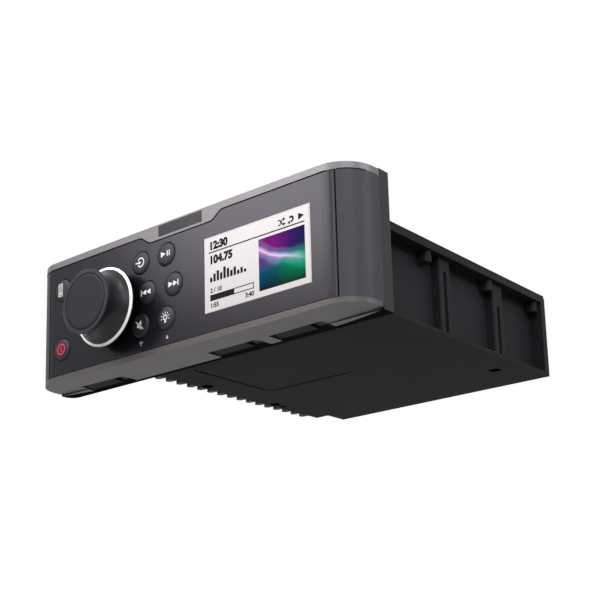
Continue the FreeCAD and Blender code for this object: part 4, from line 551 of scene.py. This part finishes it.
def stroke(x0, z0, x1, z1, width):
    """Outline of a straight stroke of the given width."""
    run = Vector((x1 - x0, z1 - z0)).normalized() * width / 2
    side = Vector((-run.y, run.x))
    return [(x0 + side.x, z0 + side.y), (x0 - side.x, z0 - side.y),
            (x1 - side.x, z1 - side.y), (x1 + side.x, z1 + side.y)]


def stand(name, drawing, x, z, face, thickness, finish, body):
    """Raise a flat drawing from a face that looks forward, at x, z."""
    drawing.extrude = thickness / 2 * MM
    piece = add_curve_mesh(name, drawing)
    piece.rotation_euler = (math.radians(90), 0, 0)
    piece.location = (x * MM, (face - thickness / 2) * MM, z * MM)
    return settle(piece, name, finish, body)


def symbol(name, outlines, x, z, face, finish, body, thickness=0.04):
    """A flat raised symbol. Outlines are in millimetres about x, z."""
    drawing = bpy.data.curves.new(name, "CURVE")
    drawing.dimensions = "2D"
    drawing.fill_mode = "BOTH"
    for outline in outlines:
        spline = add_polyline(drawing, [(px * MM, pz * MM, 0) for px, pz in outline])
        spline.use_cyclic_u = True
    return stand(name, drawing, x, z, face, thickness, finish, body)


def turned(name, profile, x, z, finish, body, steps):
    """Spin a half section (radius, y) about the line through x, z that runs front to back."""
    mesh = bpy.data.meshes.new(name)
    work = bmesh.new()
    corners = [work.verts.new(((x + radius) * MM, y * MM, z * MM)) for radius, y in profile]
    for first, second in zip(corners, corners[1:]):
        work.edges.new((first, second))
    work.to_mesh(mesh)
    work.free()
    piece = add_piece(name, mesh)
    bpy.ops.object.mode_set(mode="EDIT")
    bpy.ops.mesh.select_all(action="SELECT")
    bpy.ops.mesh.spin(steps=steps, angle=math.tau, center=(x * MM, 0, z * MM), axis=(0, 1, 0))
    bpy.ops.mesh.select_all(action="SELECT")
    bpy.ops.mesh.remove_doubles(threshold=2e-6)
    bpy.ops.mesh.normals_make_consistent(inside=False)
    bpy.ops.object.mode_set(mode="OBJECT")
    smooth(piece, 28)
    return settle(piece, name, finish, body)


def rounded_profile(points, radius, steps=4):
    """Round the corners of an open section or path, so that edges catch the light."""
    made = [points[0]]
    for before, corner, after in zip(points, points[1:], points[2:]):
        a, b, c = Vector(before), Vector(corner), Vector(after)
        cut = min(radius, (a - b).length / 2.2, (c - b).length / 2.2)
        start, end = b + (a - b).normalized() * cut, b + (c - b).normalized() * cut
        for step in range(steps + 1):
            t = step / steps
            made.append(tuple(start * (1 - t) ** 2 + b * 2 * t * (1 - t) + end * t ** 2))
    made.append(points[-1])
    return made


# Push buttons

# Half section of a button, from its dished face to the lip that holds it in: radius, depth behind the front.
BUTTON_SECTION = [(0.0, 0.02), (3.2, 0.06), (4.6, 0.20), (5.2, 0.42), (5.55, 0.85), (5.6, 3.1), (6.4, 3.1),
                  (6.4, 3.9), (2.0, 3.9)]

for node_name, (place_x, place_z) in BUTTON_PLACES.items():
    low, high = edges(node_name)
    section = [(radius, low[1] + depth) for radius, depth in BUTTON_SECTION]
    section += [(2.0, high[1]), (0.0, high[1])]
    button = turned(node_name + "_cap", rounded_profile(section, 0.3), place_x, place_z, BUTTON, node_name,
                    steps=64)
    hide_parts(node_name)

BUTTON_FACE = edges("button_play")[0][1] + 0.09


def button_symbol(node_name, outlines, size=1.0, finish=INK_WHITE_PAINTED_GLOW, lift=0.0, part=""):
    """A symbol on a button, drawn about the button's middle."""
    place_x, place_z = BUTTON_PLACES[node_name]
    outlines = [[(px * size, pz * size) for px, pz in outline] for outline in outlines]
    name = node_name.replace("button", "symbol") + part
    symbol(name, outlines, place_x, place_z, BUTTON_FACE - lift, finish, node_name,
           thickness=0.12)


button_symbol("button_play", [
    triangle(0.0, -2.7, 1.3), box_outline(0.9, -1.3, 1.4, 1.3), box_outline(2.1, -1.3, 2.6, 1.3)], 1.05)
button_symbol("button_previous", [
    box_outline(-3.0, -1.15, -2.55, 1.15), triangle(-2.35, -0.2, 1.05), triangle(0.0, 2.15, 1.05)], 1.2)
button_symbol("button_next", [
    triangle(0.05, -2.3, 1.1), triangle(2.4, 0.25, 1.1), box_outline(2.55, -1.2, 3.0, 1.2)], 1.2)
button_symbol("button_source", [
    band(0.35, 0, 1.55, 2.05, -142, 284),
    [(-2.6, -0.25), (-0.7, -0.25), (-0.7, -0.85), (0.6, 0), (-0.7, 0.85), (-0.7, 0.25), (-2.6, 0.25)]], 1.15)

MUTE_SIZE, MUTE_BAR = 1.2, (-1.95, 1.75, 1.95, -1.75)
button_symbol("button_mute", [
    [(-1.3, -0.75), (-0.55, -0.75), (0.9, -1.85), (0.9, 1.85), (-0.55, 0.75), (-1.3, 0.75)]], MUTE_SIZE)
button_symbol("button_mute", [stroke(*MUTE_BAR, 0.95)], MUTE_SIZE, BUTTON, lift=0.02, part="_gap")
button_symbol("button_mute", [stroke(*MUTE_BAR, 0.42)], MUTE_SIZE, lift=0.04, part="_bar")

LAMP_Z, RAY_INNER, RAY_OUTER, RAY_WIDTH = 0.1, 1.65, 2.4, 0.3
button_symbol("button_lamp", [
    loop(0, LAMP_Z, 1.15), loop(0, LAMP_Z, 0.75), box_outline(-0.42, -2.05, 0.42, -1.15),
    *[stroke(*around(0, LAMP_Z, RAY_INNER, angle), *around(0, LAMP_Z, RAY_OUTER, angle), RAY_WIDTH)
      for angle in range(-20, 201, 36)]], 1.15)

button_symbol("button_power", [loop(0, 0, 3.1, 48)], finish=PAINTED_RED_GLOW, part="_glow")
button_symbol("button_power", [
    loop(0, 0, 2.9, 48), loop(0, 0, 2.15, 48), stroke(0, -1.2, 0, 1.2, 0.7)], finish=INK_RED, lift=0.1)
button_symbol("button_open", [
    box_outline(-2.7, -3.3, 0.3, 3.3), box_outline(-2.2, -2.8, -0.2, 2.8),
    box_outline(-1.9, -2.4, -0.5, -0.7), box_outline(-1.9, -0.3, -0.5, 0.2),
    box_outline(-1.9, 0.6, -0.5, 1.1), box_outline(-1.9, 1.5, -0.5, 2.4)], finish=INK_OPEN_PAINTED_GLOW)

# Small printed marks under the two lower buttons.
symbol("mark_wave", [band(0, -0.9, 1.55, 1.85, 50, 80, 10), band(0, -0.9, 0.95, 1.25, 50, 80, 10),
                     loop(0, -0.75, 0.35, 12)], -22.5, 7.2, DOOR_FRONT, INK_GREY_PAINTED_GLOW, "door")
symbol("mark_drop", [[(0, 1.1), (0.32, 0.45), (0.62, -0.1), (0.62, -0.6), (0.3, -0.95), (-0.3, -0.95),
                      (-0.62, -0.6), (-0.62, -0.1), (-0.32, 0.45)]],
       -5.7, 6.9, DOOR_FRONT, INK_GREY_PAINTED_GLOW, "door")


# Knob

knob_rear = edges("knob")[1][1]
cap_front = edges("knob_cap")[0][1]
ring_front, ring_rear = [corner[1] for corner in edges("knob_ring")]
RING_INNER, RING_OUTER, RING_DEPTH = 17.8, 19.05, 0.9
BORE, TUBE_INNER, TUBE_OUTER, SKIRT_REAR, SEAT = 3.0, 8.5, 13.5, 17.2, 13.4
ring_foot = ring_front + RING_DEPTH
seat_foot = cap_front + 1.7
skirt = [
    (BORE, ring_rear - 1.0), (TUBE_INNER, ring_rear - 1.0), (TUBE_INNER, knob_rear), (TUBE_OUTER, knob_rear),
    (TUBE_OUTER, ring_rear), (SKIRT_REAR, ring_rear), (SKIRT_REAR, ring_foot), (RING_INNER, ring_foot),
    (RING_INNER, ring_front + 0.1), (17.6, ring_front - 0.15), (16.6, ring_front - 0.8),
    (15.6, ring_front - 2.0), (14.8, ring_front - 4.0), (14.3, ring_front - 6.4),
    (14.2, ring_front - 8.4), (14.6, ring_front - 9.6), (15.35, ring_front - 10.4),
    (15.5, cap_front + 0.8), (15.1, cap_front + 0.5), (13.55, cap_front + 0.5), (SEAT, cap_front + 0.6),
    (SEAT, seat_foot), (0.0, seat_foot), (0.0, cap_front + 3.8), (BORE, cap_front + 3.8),
    (BORE, ring_rear - 1.0),
]
knob_skirt = turned("knob_skirt", skirt, KNOB_X, KNOB_Z, KNOB, "knob", steps=128)
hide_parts("knob")

ring_section = rounded_profile([
    (RING_INNER, ring_foot), (RING_OUTER, ring_foot), (RING_OUTER, ring_front + 0.3),
    (18.75, ring_front), (RING_INNER, ring_front)], 0.25) + [(RING_INNER, ring_foot)]
bright_ring = turned("knob_bright_ring", ring_section, KNOB_X, KNOB_Z, RING, "knob", steps=160)
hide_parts("knob_ring")

# The back of the ring, in the collar's finish: painted shade behind the bright ring.
back_section = [(SKIRT_REAR, ring_rear), (18.4, ring_rear), (18.9, ring_rear - 0.4), (18.9, ring_foot),
                (SKIRT_REAR, ring_foot), (SKIRT_REAR, ring_rear)]
turned("knob_ring_back", back_section, KNOB_X, KNOB_Z, COLLAR_PAINTED_SHADE, "knob", steps=160)

cap_section = [
    (0.0, seat_foot), (13.15, seat_foot), (13.15, cap_front + 0.62), (13.0, cap_front + 0.45),
    (12.7, cap_front + 0.40), (11.4, cap_front + 0.42), (9.5, cap_front + 0.46), (6.0, cap_front + 0.5),
    (2.5, cap_front + 0.52), (0.0, cap_front + 0.53),
]
knob_disc = turned("knob_disc", cap_section, KNOB_X, KNOB_Z, CAP, "knob", steps=128)
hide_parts("knob_cap")


# Display

lens_low, lens_high = edges("display_lens")
SCREEN_FACE = lens_low[1]
SCREEN_INK = 0.03
bpy.ops.mesh.primitive_cube_add(size=1, location=[(a + b) / 2 * MM for a, b in zip(lens_low, lens_high)])
screen = bpy.context.object
screen.scale = [(b - a) * MM for a, b in zip(lens_low, lens_high)]
bpy.ops.object.transform_apply(location=True, rotation=True, scale=True)
bevel = screen.modifiers.new("soft edge", "BEVEL")
bevel.width = 0.15 * MM
bevel.segments = 3
bpy.ops.object.modifier_apply(modifier="soft edge")
smooth(screen, 35)
settle(screen, "display_window", SCREEN, "door")
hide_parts("display_lens")


def on_screen(name, outlines, finish=INK_DARK, lift=0.0):
    """A mark on the display, at places on the panel."""
    symbol(name, outlines, 0, 0, SCREEN_FACE - lift, finish, "door", SCREEN_INK)


def number(name, text, x, foot, height, bold):
    """Figures on the display."""
    figures = bpy.data.curves.new(name, "FONT")
    figures.body = text
    figures.size = height / 0.69 * MM
    figures.offset = bold * MM
    stand(name, figures, x, foot, SCREEN_FACE, SCREEN_INK, INK_DARK, "door")


on_screen("screen_rule", [box_outline(20.4, 39.65, 75.2, 40.2)])
on_screen("screen_border", [box_outline(18.0, 46.9, 78.0, 47.3), box_outline(77.4, 12.4, 78.0, 46.8)], INK_EDGE)
on_screen("screen_picture", [box_outline(*PICTURE_BOX)], PICTURE)
on_screen("screen_progress_frame", [box_outline(21.1, 17.3, 46.6, 20.1), box_outline(21.5, 17.7, 46.2, 19.7)])
on_screen("screen_progress", [box_outline(21.5, 17.7, 35.3, 19.7)])
on_screen("screen_play", [[(71.9, 41.2), (75.1, 42.8), (71.9, 44.4)]])
on_screen("screen_repeat", [band(68.1, 42.8, 0.6, 1.5, -100, 245)])
on_screen("screen_repeat_tip", [[(67.5, 40.7), (67.5, 42.3), (66.0, 41.5)]], lift=0.01)
on_screen("screen_shuffle", [stroke(60.8, 43.9, 62.0, 43.9, 0.5), stroke(63.2, 43.9, 64.0, 43.9, 0.5),
                             stroke(60.8, 41.7, 62.0, 41.7, 0.5), stroke(63.2, 41.7, 64.0, 41.7, 0.5)])
on_screen("screen_shuffle_rise", [stroke(61.8, 41.6, 63.4, 44.0, 0.55)], lift=0.01)
on_screen("screen_shuffle_fall", [stroke(61.8, 44.0, 63.4, 41.6, 0.55)], lift=0.02)
on_screen("screen_shuffle_tips", [[(63.8, 43.1), (65.0, 43.9), (63.8, 44.7)],
                                  [(63.8, 40.9), (65.0, 41.7), (63.8, 42.5)]], lift=0.03)
number("screen_clock", "12:30", 20.8, 41.3, 3.4, bold=0.30)
number("screen_frequency", "104.75", 20.8, 34.6, 3.5, bold=0.30)
number("screen_count", "2 / 10", 21.2, 21.1, 2.0, bold=0.10)
number("screen_elapsed", "1:55", 21.2, 14.2, 2.0, bold=0.10)
number("screen_total", "3:40", 41.6, 14.2, 2.0, bold=0.10)

LEVELS = (2.2, 3.6, 4.6, 3.2, 5.4, 4.2, 2.8, 3.8, 1.8, 2.6, 1.4)
LEVEL_X, LEVEL_Z, LEVEL_PITCH, LEVEL_WIDTH = 21.1, 26.0, 2.0, 1.4
on_screen("screen_levels", [
    box_outline(LEVEL_X + LEVEL_PITCH * i, LEVEL_Z, LEVEL_X + LEVEL_WIDTH + LEVEL_PITCH * i, LEVEL_Z + level)
    for i, level in enumerate(LEVELS)])


# Painted shade in the seams: dark lines whose middle lies a little behind the surface, so that a thin part of
# each shows.


def painted_shade_line(name, points, radius):
    """A thin near-black line that lies in a seam of the chassis: painted shade in the seam."""
    line = bpy.data.curves.new(name, "CURVE")
    line.dimensions = "3D"
    line.bevel_depth = radius * MM
    line.bevel_resolution = 2
    line.use_fill_caps = True
    add_polyline(line, [[value * MM for value in point] for point in points])
    piece = add_curve_mesh(name, line)
    smooth(piece, 60)
    return settle(piece, name, LINE, "chassis")


ROUND_START = HALF_PANEL - END_RADIUS


def front_at(x):
    """Where the rounded front stands, front to back, at a place across the panel."""
    past = max(0.0, abs(x) - ROUND_START)
    return DOOR_FRONT + END_RADIUS - math.sqrt(END_RADIUS ** 2 - past ** 2)


# Above the door, along the dip for the name plate.
SEAM_Z = edges("door")[1][2] + 0.15
DIP_MIDDLE, DIP_INNER, DIP_OUTER, DIP_DEPTH = 2.7, 19.8, 25.4, 4.0
END_LEFT, END_RIGHT = -87.2, 87.4
seam_path = rounded_profile([
    (END_LEFT, SEAM_Z), (-ROUND_START, SEAM_Z), (DIP_MIDDLE - DIP_OUTER, SEAM_Z),
    (DIP_MIDDLE - DIP_INNER, SEAM_Z - DIP_DEPTH), (DIP_MIDDLE + DIP_INNER, SEAM_Z - DIP_DEPTH),
    (DIP_MIDDLE + DIP_OUTER, SEAM_Z), (ROUND_START, SEAM_Z), (END_RIGHT, SEAM_Z)], 1.6, steps=5)
painted_shade_line("door_top_shade_line", [(x, front_at(x) + 0.12, z) for x, z in seam_path], 0.36)

# Over each end of the bezel, and down between the bezel and the flange.
SEAM_EDGE, SEAM_STEPS, SEAM_FOOT = HALF_PANEL - 0.25, 12, 0.4
BEZEL_SEAM_Z = SEAM_Z + 0.12
for end, side, start in (("right", 1, 91.4), ("left", -1, 88.2)):
    reach = [start + (SEAM_EDGE - start) * step / SEAM_STEPS for step in range(SEAM_STEPS)]
    arc = [(side * x, front_at(x) + 0.10, BEZEL_SEAM_Z) for x in reach]
    arc += [(side * SEAM_EDGE, front_at(HALF_PANEL) + 0.06, BEZEL_SEAM_Z),
            (side * SEAM_EDGE, FLANGE_FRONT, BEZEL_SEAM_Z), (side * SEAM_EDGE, FLANGE_FRONT, SEAM_FOOT)]
    painted_shade_line(f"bezel_shade_line_{end}", arc, 0.24)

# Painted shade in the line pressed into the base.
pressed = rounded_profile([(LINE_LEFT, LINE_FRONT), (LINE_LEFT, LINE_BACK), (LINE_RIGHT, LINE_BACK)],
                          LINE_CORNER, steps=8)
painted_shade_line("base_line_shade", [(x, y, 0.38) for x, y in pressed], 0.36)


# Screws

# Cross recess: its length and width as shares of the head's radius, its depth as a share of the height.
RECESS_LENGTH, RECESS_WIDTH, RECESS_DEPTH = 1.15, 0.24, 1.1
EDGE_EASE, SUNK_EDGE_EASE = 0.35, 0.12


def cross_screw(name, place, axis, radius, height, countersunk):
    """A screw head with a cross recess. place is the middle of its outer face, axis the way it looks."""
    bpy.ops.mesh.primitive_cylinder_add(vertices=40, radius=radius * MM, depth=height * MM,
                                        location=(0, 0, -height / 2 * MM))
    head = bpy.context.object
    bpy.ops.object.mode_set(mode="EDIT")
    shape = bmesh.from_edit_mesh(head.data)
    for vertex in shape.verts:
        vertex.select = False
    for edge in shape.edges:
        edge.select = all(abs(vertex.co.z) < 1e-6 for vertex in edge.verts)
    bmesh.update_edit_mesh(head.data)
    ease = SUNK_EDGE_EASE if countersunk else EDGE_EASE
    bpy.ops.mesh.bevel(offset=ease * MM, segments=4, affect="EDGES")
    bpy.ops.object.mode_set(mode="OBJECT")
    for turn in (0, 90):
        bpy.ops.mesh.primitive_cube_add(size=1, location=(0, 0, 0))
        cutter = bpy.context.object
        cutter.scale = (radius * RECESS_LENGTH * MM, radius * RECESS_WIDTH * MM, height * RECESS_DEPTH * MM)
        cutter.rotation_euler = (0, 0, math.radians(turn))
        cut = head.modifiers.new("recess", "BOOLEAN")
        cut.operation = "DIFFERENCE"
        cut.solver = "EXACT"
        cut.object = cutter
        pick(head)
        bpy.ops.object.modifier_apply(modifier="recess")
        bpy.data.objects.remove(cutter)
    head.rotation_euler = Vector((0, 0, 1)).rotation_difference(Vector(axis)).to_euler()
    head.location = (Vector(place) - Vector(axis) * height / 2) * MM
    smooth(head, 40)
    return settle(head, name, STEEL_DARK if countersunk else STEEL, "chassis")


def screw_set(node, places, radius, height, countersunk=False):
    """Heads for a node of screws, joined to one piece. places holds (place, axis) of each head."""
    heads = [cross_screw(f"{node}_{index}", place, axis, radius, height, countersunk)
             for index, (place, axis) in enumerate(places)]
    bpy.ops.object.select_all(action="DESELECT")
    for head in heads:
        head.select_set(True)
    bpy.context.view_layer.objects.active = heads[0]
    bpy.ops.object.join()
    heads[0].name = node + "_heads"
    return heads[0]


def corner_heads(low, high, y, radius, axis):
    """One head in each corner of the box that the node's screws fill."""
    return [((x, y, z), axis) for x in (low[0] + radius, high[0] - radius)
            for z in (low[2] + radius, high[2] - radius)]


REAR_SCREW, FLANGE_SCREW, CASE_SCREW = 1.9, 2.5, 2.4
REARWARD, FORWARD, UPWARD, DOWNWARD = (0, 1, 0), (0, -1, 0), (0, 0, 1), (0, 0, -1)

rear_low, rear_high = edges("rear_screws")
rear_heads = screw_set("rear_screws", corner_heads(rear_low, rear_high, rear_high[1], REAR_SCREW, REARWARD),
                       REAR_SCREW, 1.0)
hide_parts("rear_screws")

flange_low, flange_high = edges("flange_screws")
flange_heads = screw_set("flange_screws",
                         corner_heads(flange_low, flange_high, flange_low[1], FLANGE_SCREW, FORWARD),
                         FLANGE_SCREW, 2.0)
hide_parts("flange_screws")

LID_TOP = 42.0
LID_SCREWS = ((-34.5, 24.0), (-34.5, 108.0), (96.0, 33.3), (96.0, 85.6), (96.0, 129.6))
RIM_RADIUS, RIM_STEPS = 2.45, 24
# Painted shade round the holes of the base's screws.
for index, (px, py) in enumerate(BASE_SCREWS):
    rim = [(*around(px, py, RIM_RADIUS, 360 * i / RIM_STEPS), 0.26) for i in range(RIM_STEPS + 1)]
    painted_shade_line(f"base_screw_hole_shade_{index}", rim, 0.24)
case_places = [((px, py, 0.1), DOWNWARD) for px, py in BASE_SCREWS]
case_places += [((px, py + FLANGE_REAR, LID_TOP), UPWARD) for px, py in LID_SCREWS]
case_heads = screw_set("case_screws", case_places, CASE_SCREW, 0.9, countersunk=True)
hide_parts("case_screws")


# Colour bands on the line jacks

jacks_low, jacks_high = edges("line_jacks")
JACK_EDGE, JACK_RADIUS = 6.0, 4.1
band_inner, band_outer = JACK_RADIUS - 0.1, JACK_RADIUS + 0.3
band_front, band_rear = jacks_high[1] - 3.0, jacks_high[1] - 0.3
band_section = rounded_profile([
    (band_inner, band_front), (band_outer, band_front), (band_outer, band_rear), (band_inner, band_rear)], 0.15)
band_section.append(band_section[0])
jack_rows = ((jacks_low[2] + JACK_EDGE, JACK_RED), (jacks_high[2] - JACK_EDGE, JACK_WHITE))
for column, band_x in enumerate((jacks_low[0] + JACK_EDGE, jacks_high[0] - JACK_EDGE)):
    for row, (band_z, finish) in enumerate(jack_rows):
        turned(f"jack_band_{column}{row}", band_section, band_x, band_z, finish, "chassis",
               steps=48)


# Stage, light and camera


def add_sight(tree):
    """A mask that is 1 for what the camera, mirrors and glass see and 0 for what lights the object, and the
    kinds of ray that it comes from."""
    rays = tree.nodes.new("ShaderNodeLightPath").outputs
    sight = add_math(tree, "MAXIMUM", rays["Is Camera Ray"], rays["Is Transmission Ray"])
    return add_math(tree, "MAXIMUM", sight, rays["Is Glossy Ray"]), rays


def floor_material():
    """Pale floor with the object's shadow on it; it throws little light back up."""
    material = bpy.data.materials.new("pale floor")
    material.use_nodes = True
    tree = material.node_tree
    shader = tree.nodes["Principled BSDF"]
    sight, rays = add_sight(tree)
    tint = add_ramp(tree, rays["Is Diffuse Ray"], [(0.0, (0.80, 0.80, 0.80)), (1.0, (0.22, 0.20, 0.19))])
    tree.links.new(tint, shader.inputs["Base Color"])
    shader.inputs["Roughness"].default_value = 0.9
    shader.inputs["Emission Color"].default_value = (1, 1, 1, 1)
    tree.links.new(add_math(tree, "MULTIPLY", sight, 0.4), shader.inputs["Emission Strength"])
    return material


FLOOR_SIZE, FLOOR_Z = 6, -0.42
bpy.ops.mesh.primitive_plane_add(size=FLOOR_SIZE, location=(0, 0, FLOOR_Z))
floor = bpy.context.object
floor.name = "floor"
floor.data.materials.append(floor_material())


def add_sky(tree, colour, strength):
    sky = tree.nodes.new("ShaderNodeBackground")
    sky.inputs["Color"].default_value = (*colour, 1)
    sky.inputs["Strength"].default_value = strength
    return sky.outputs["Background"]


world = bpy.data.worlds.new("studio")
bpy.context.scene.world = world
world.use_nodes = True
studio = world.node_tree
studio.nodes.clear()
choice = studio.nodes.new("ShaderNodeMixShader")
studio.links.new(add_sight(studio)[0], choice.inputs["Fac"])
studio.links.new(add_sky(studio, (0.90, 0.90, 0.94), 0.30), choice.inputs[1])
studio.links.new(add_sky(studio, (1, 1, 1), 1.0), choice.inputs[2])
output = studio.nodes.new("ShaderNodeOutputWorld")
studio.links.new(choice.outputs["Shader"], output.inputs["Surface"])


def soft_lamp(name, place, target, size, power, colour=(1, 1, 1)):
    """A rectangular lamp that shines from a place towards a target, in metres and watts."""
    lamp = bpy.data.lights.new(name, "AREA")
    lamp.shape = "RECTANGLE"
    lamp.size, lamp.size_y = size
    lamp.energy = power
    lamp.color = colour
    item = bpy.data.objects.new(name, lamp)
    bpy.context.scene.collection.objects.link(item)
    item.location = place
    item.rotation_euler = (Vector(target) - Vector(place)).to_track_quat("-Z", "Y").to_euler()
    item.visible_camera = False


soft_lamp("key", (-0.32, -0.72, 0.50), (0.05, 0, 0.04), (0.56, 0.38), 7.8, (1.0, 0.96, 1.0))
soft_lamp("front", (0.24, -1.00, 0.46), (0.05, 0, 0.04), (0.50, 0.36), 2.8)
soft_lamp("right", (0.74, -0.62, 0.46), (0.08, -0.05, 0.04), (0.60, 0.40), 5.6)
soft_lamp("rim", (1.05, 0.22, 0.50), (0.08, -0.04, 0.04), (0.60, 0.40), 5.4, (0.96, 0.96, 1.0))
soft_lamp("over", (0.50, -0.25, 0.95), (0.06, -0.05, 0.04), (0.5, 0.5), 6.5)
soft_lamp("low", (0.15, -0.75, -0.34), (0, 0, 0), (0.7, 0.3), 0.5, (1.0, 0.88, 0.80))

# The camera as it was fitted to the photograph: lengths in pixels, angles in radians, its place in metres.
PHOTO_SIZE, FOCAL, CENTRE_X, CENTRE_Y = 600, 1243.462, 301.499, 440.159
YAW, PITCH, ROLL = -0.677, 0.218, -0.028
EYE = (0.377481, -0.408608 + FLANGE_REAR * MM, -0.161766)

sight = Vector((math.sin(YAW) * math.cos(PITCH), math.cos(YAW) * math.cos(PITCH), math.sin(PITCH)))
right = Vector((math.cos(YAW), -math.sin(YAW), 0))
up = right.cross(sight)
rolled_right = right * math.cos(ROLL) + up * math.sin(ROLL)
rolled_up = up * math.cos(ROLL) - right * math.sin(ROLL)
view = bpy.data.cameras.new("camera")
view.lens = FOCAL * view.sensor_width / PHOTO_SIZE
view.shift_x = -(CENTRE_X - PHOTO_SIZE / 2) / PHOTO_SIZE
view.shift_y = (CENTRE_Y - PHOTO_SIZE / 2) / PHOTO_SIZE
view.clip_start = 0.01
camera = bpy.data.objects.new("camera", view)
bpy.context.scene.collection.objects.link(camera)
camera.rotation_euler = Matrix((rolled_right, rolled_up, -sight)).transposed().to_euler()
camera.location = EYE
bpy.context.scene.camera = camera
bpy.context.scene.view_settings.view_transform = "Standard"
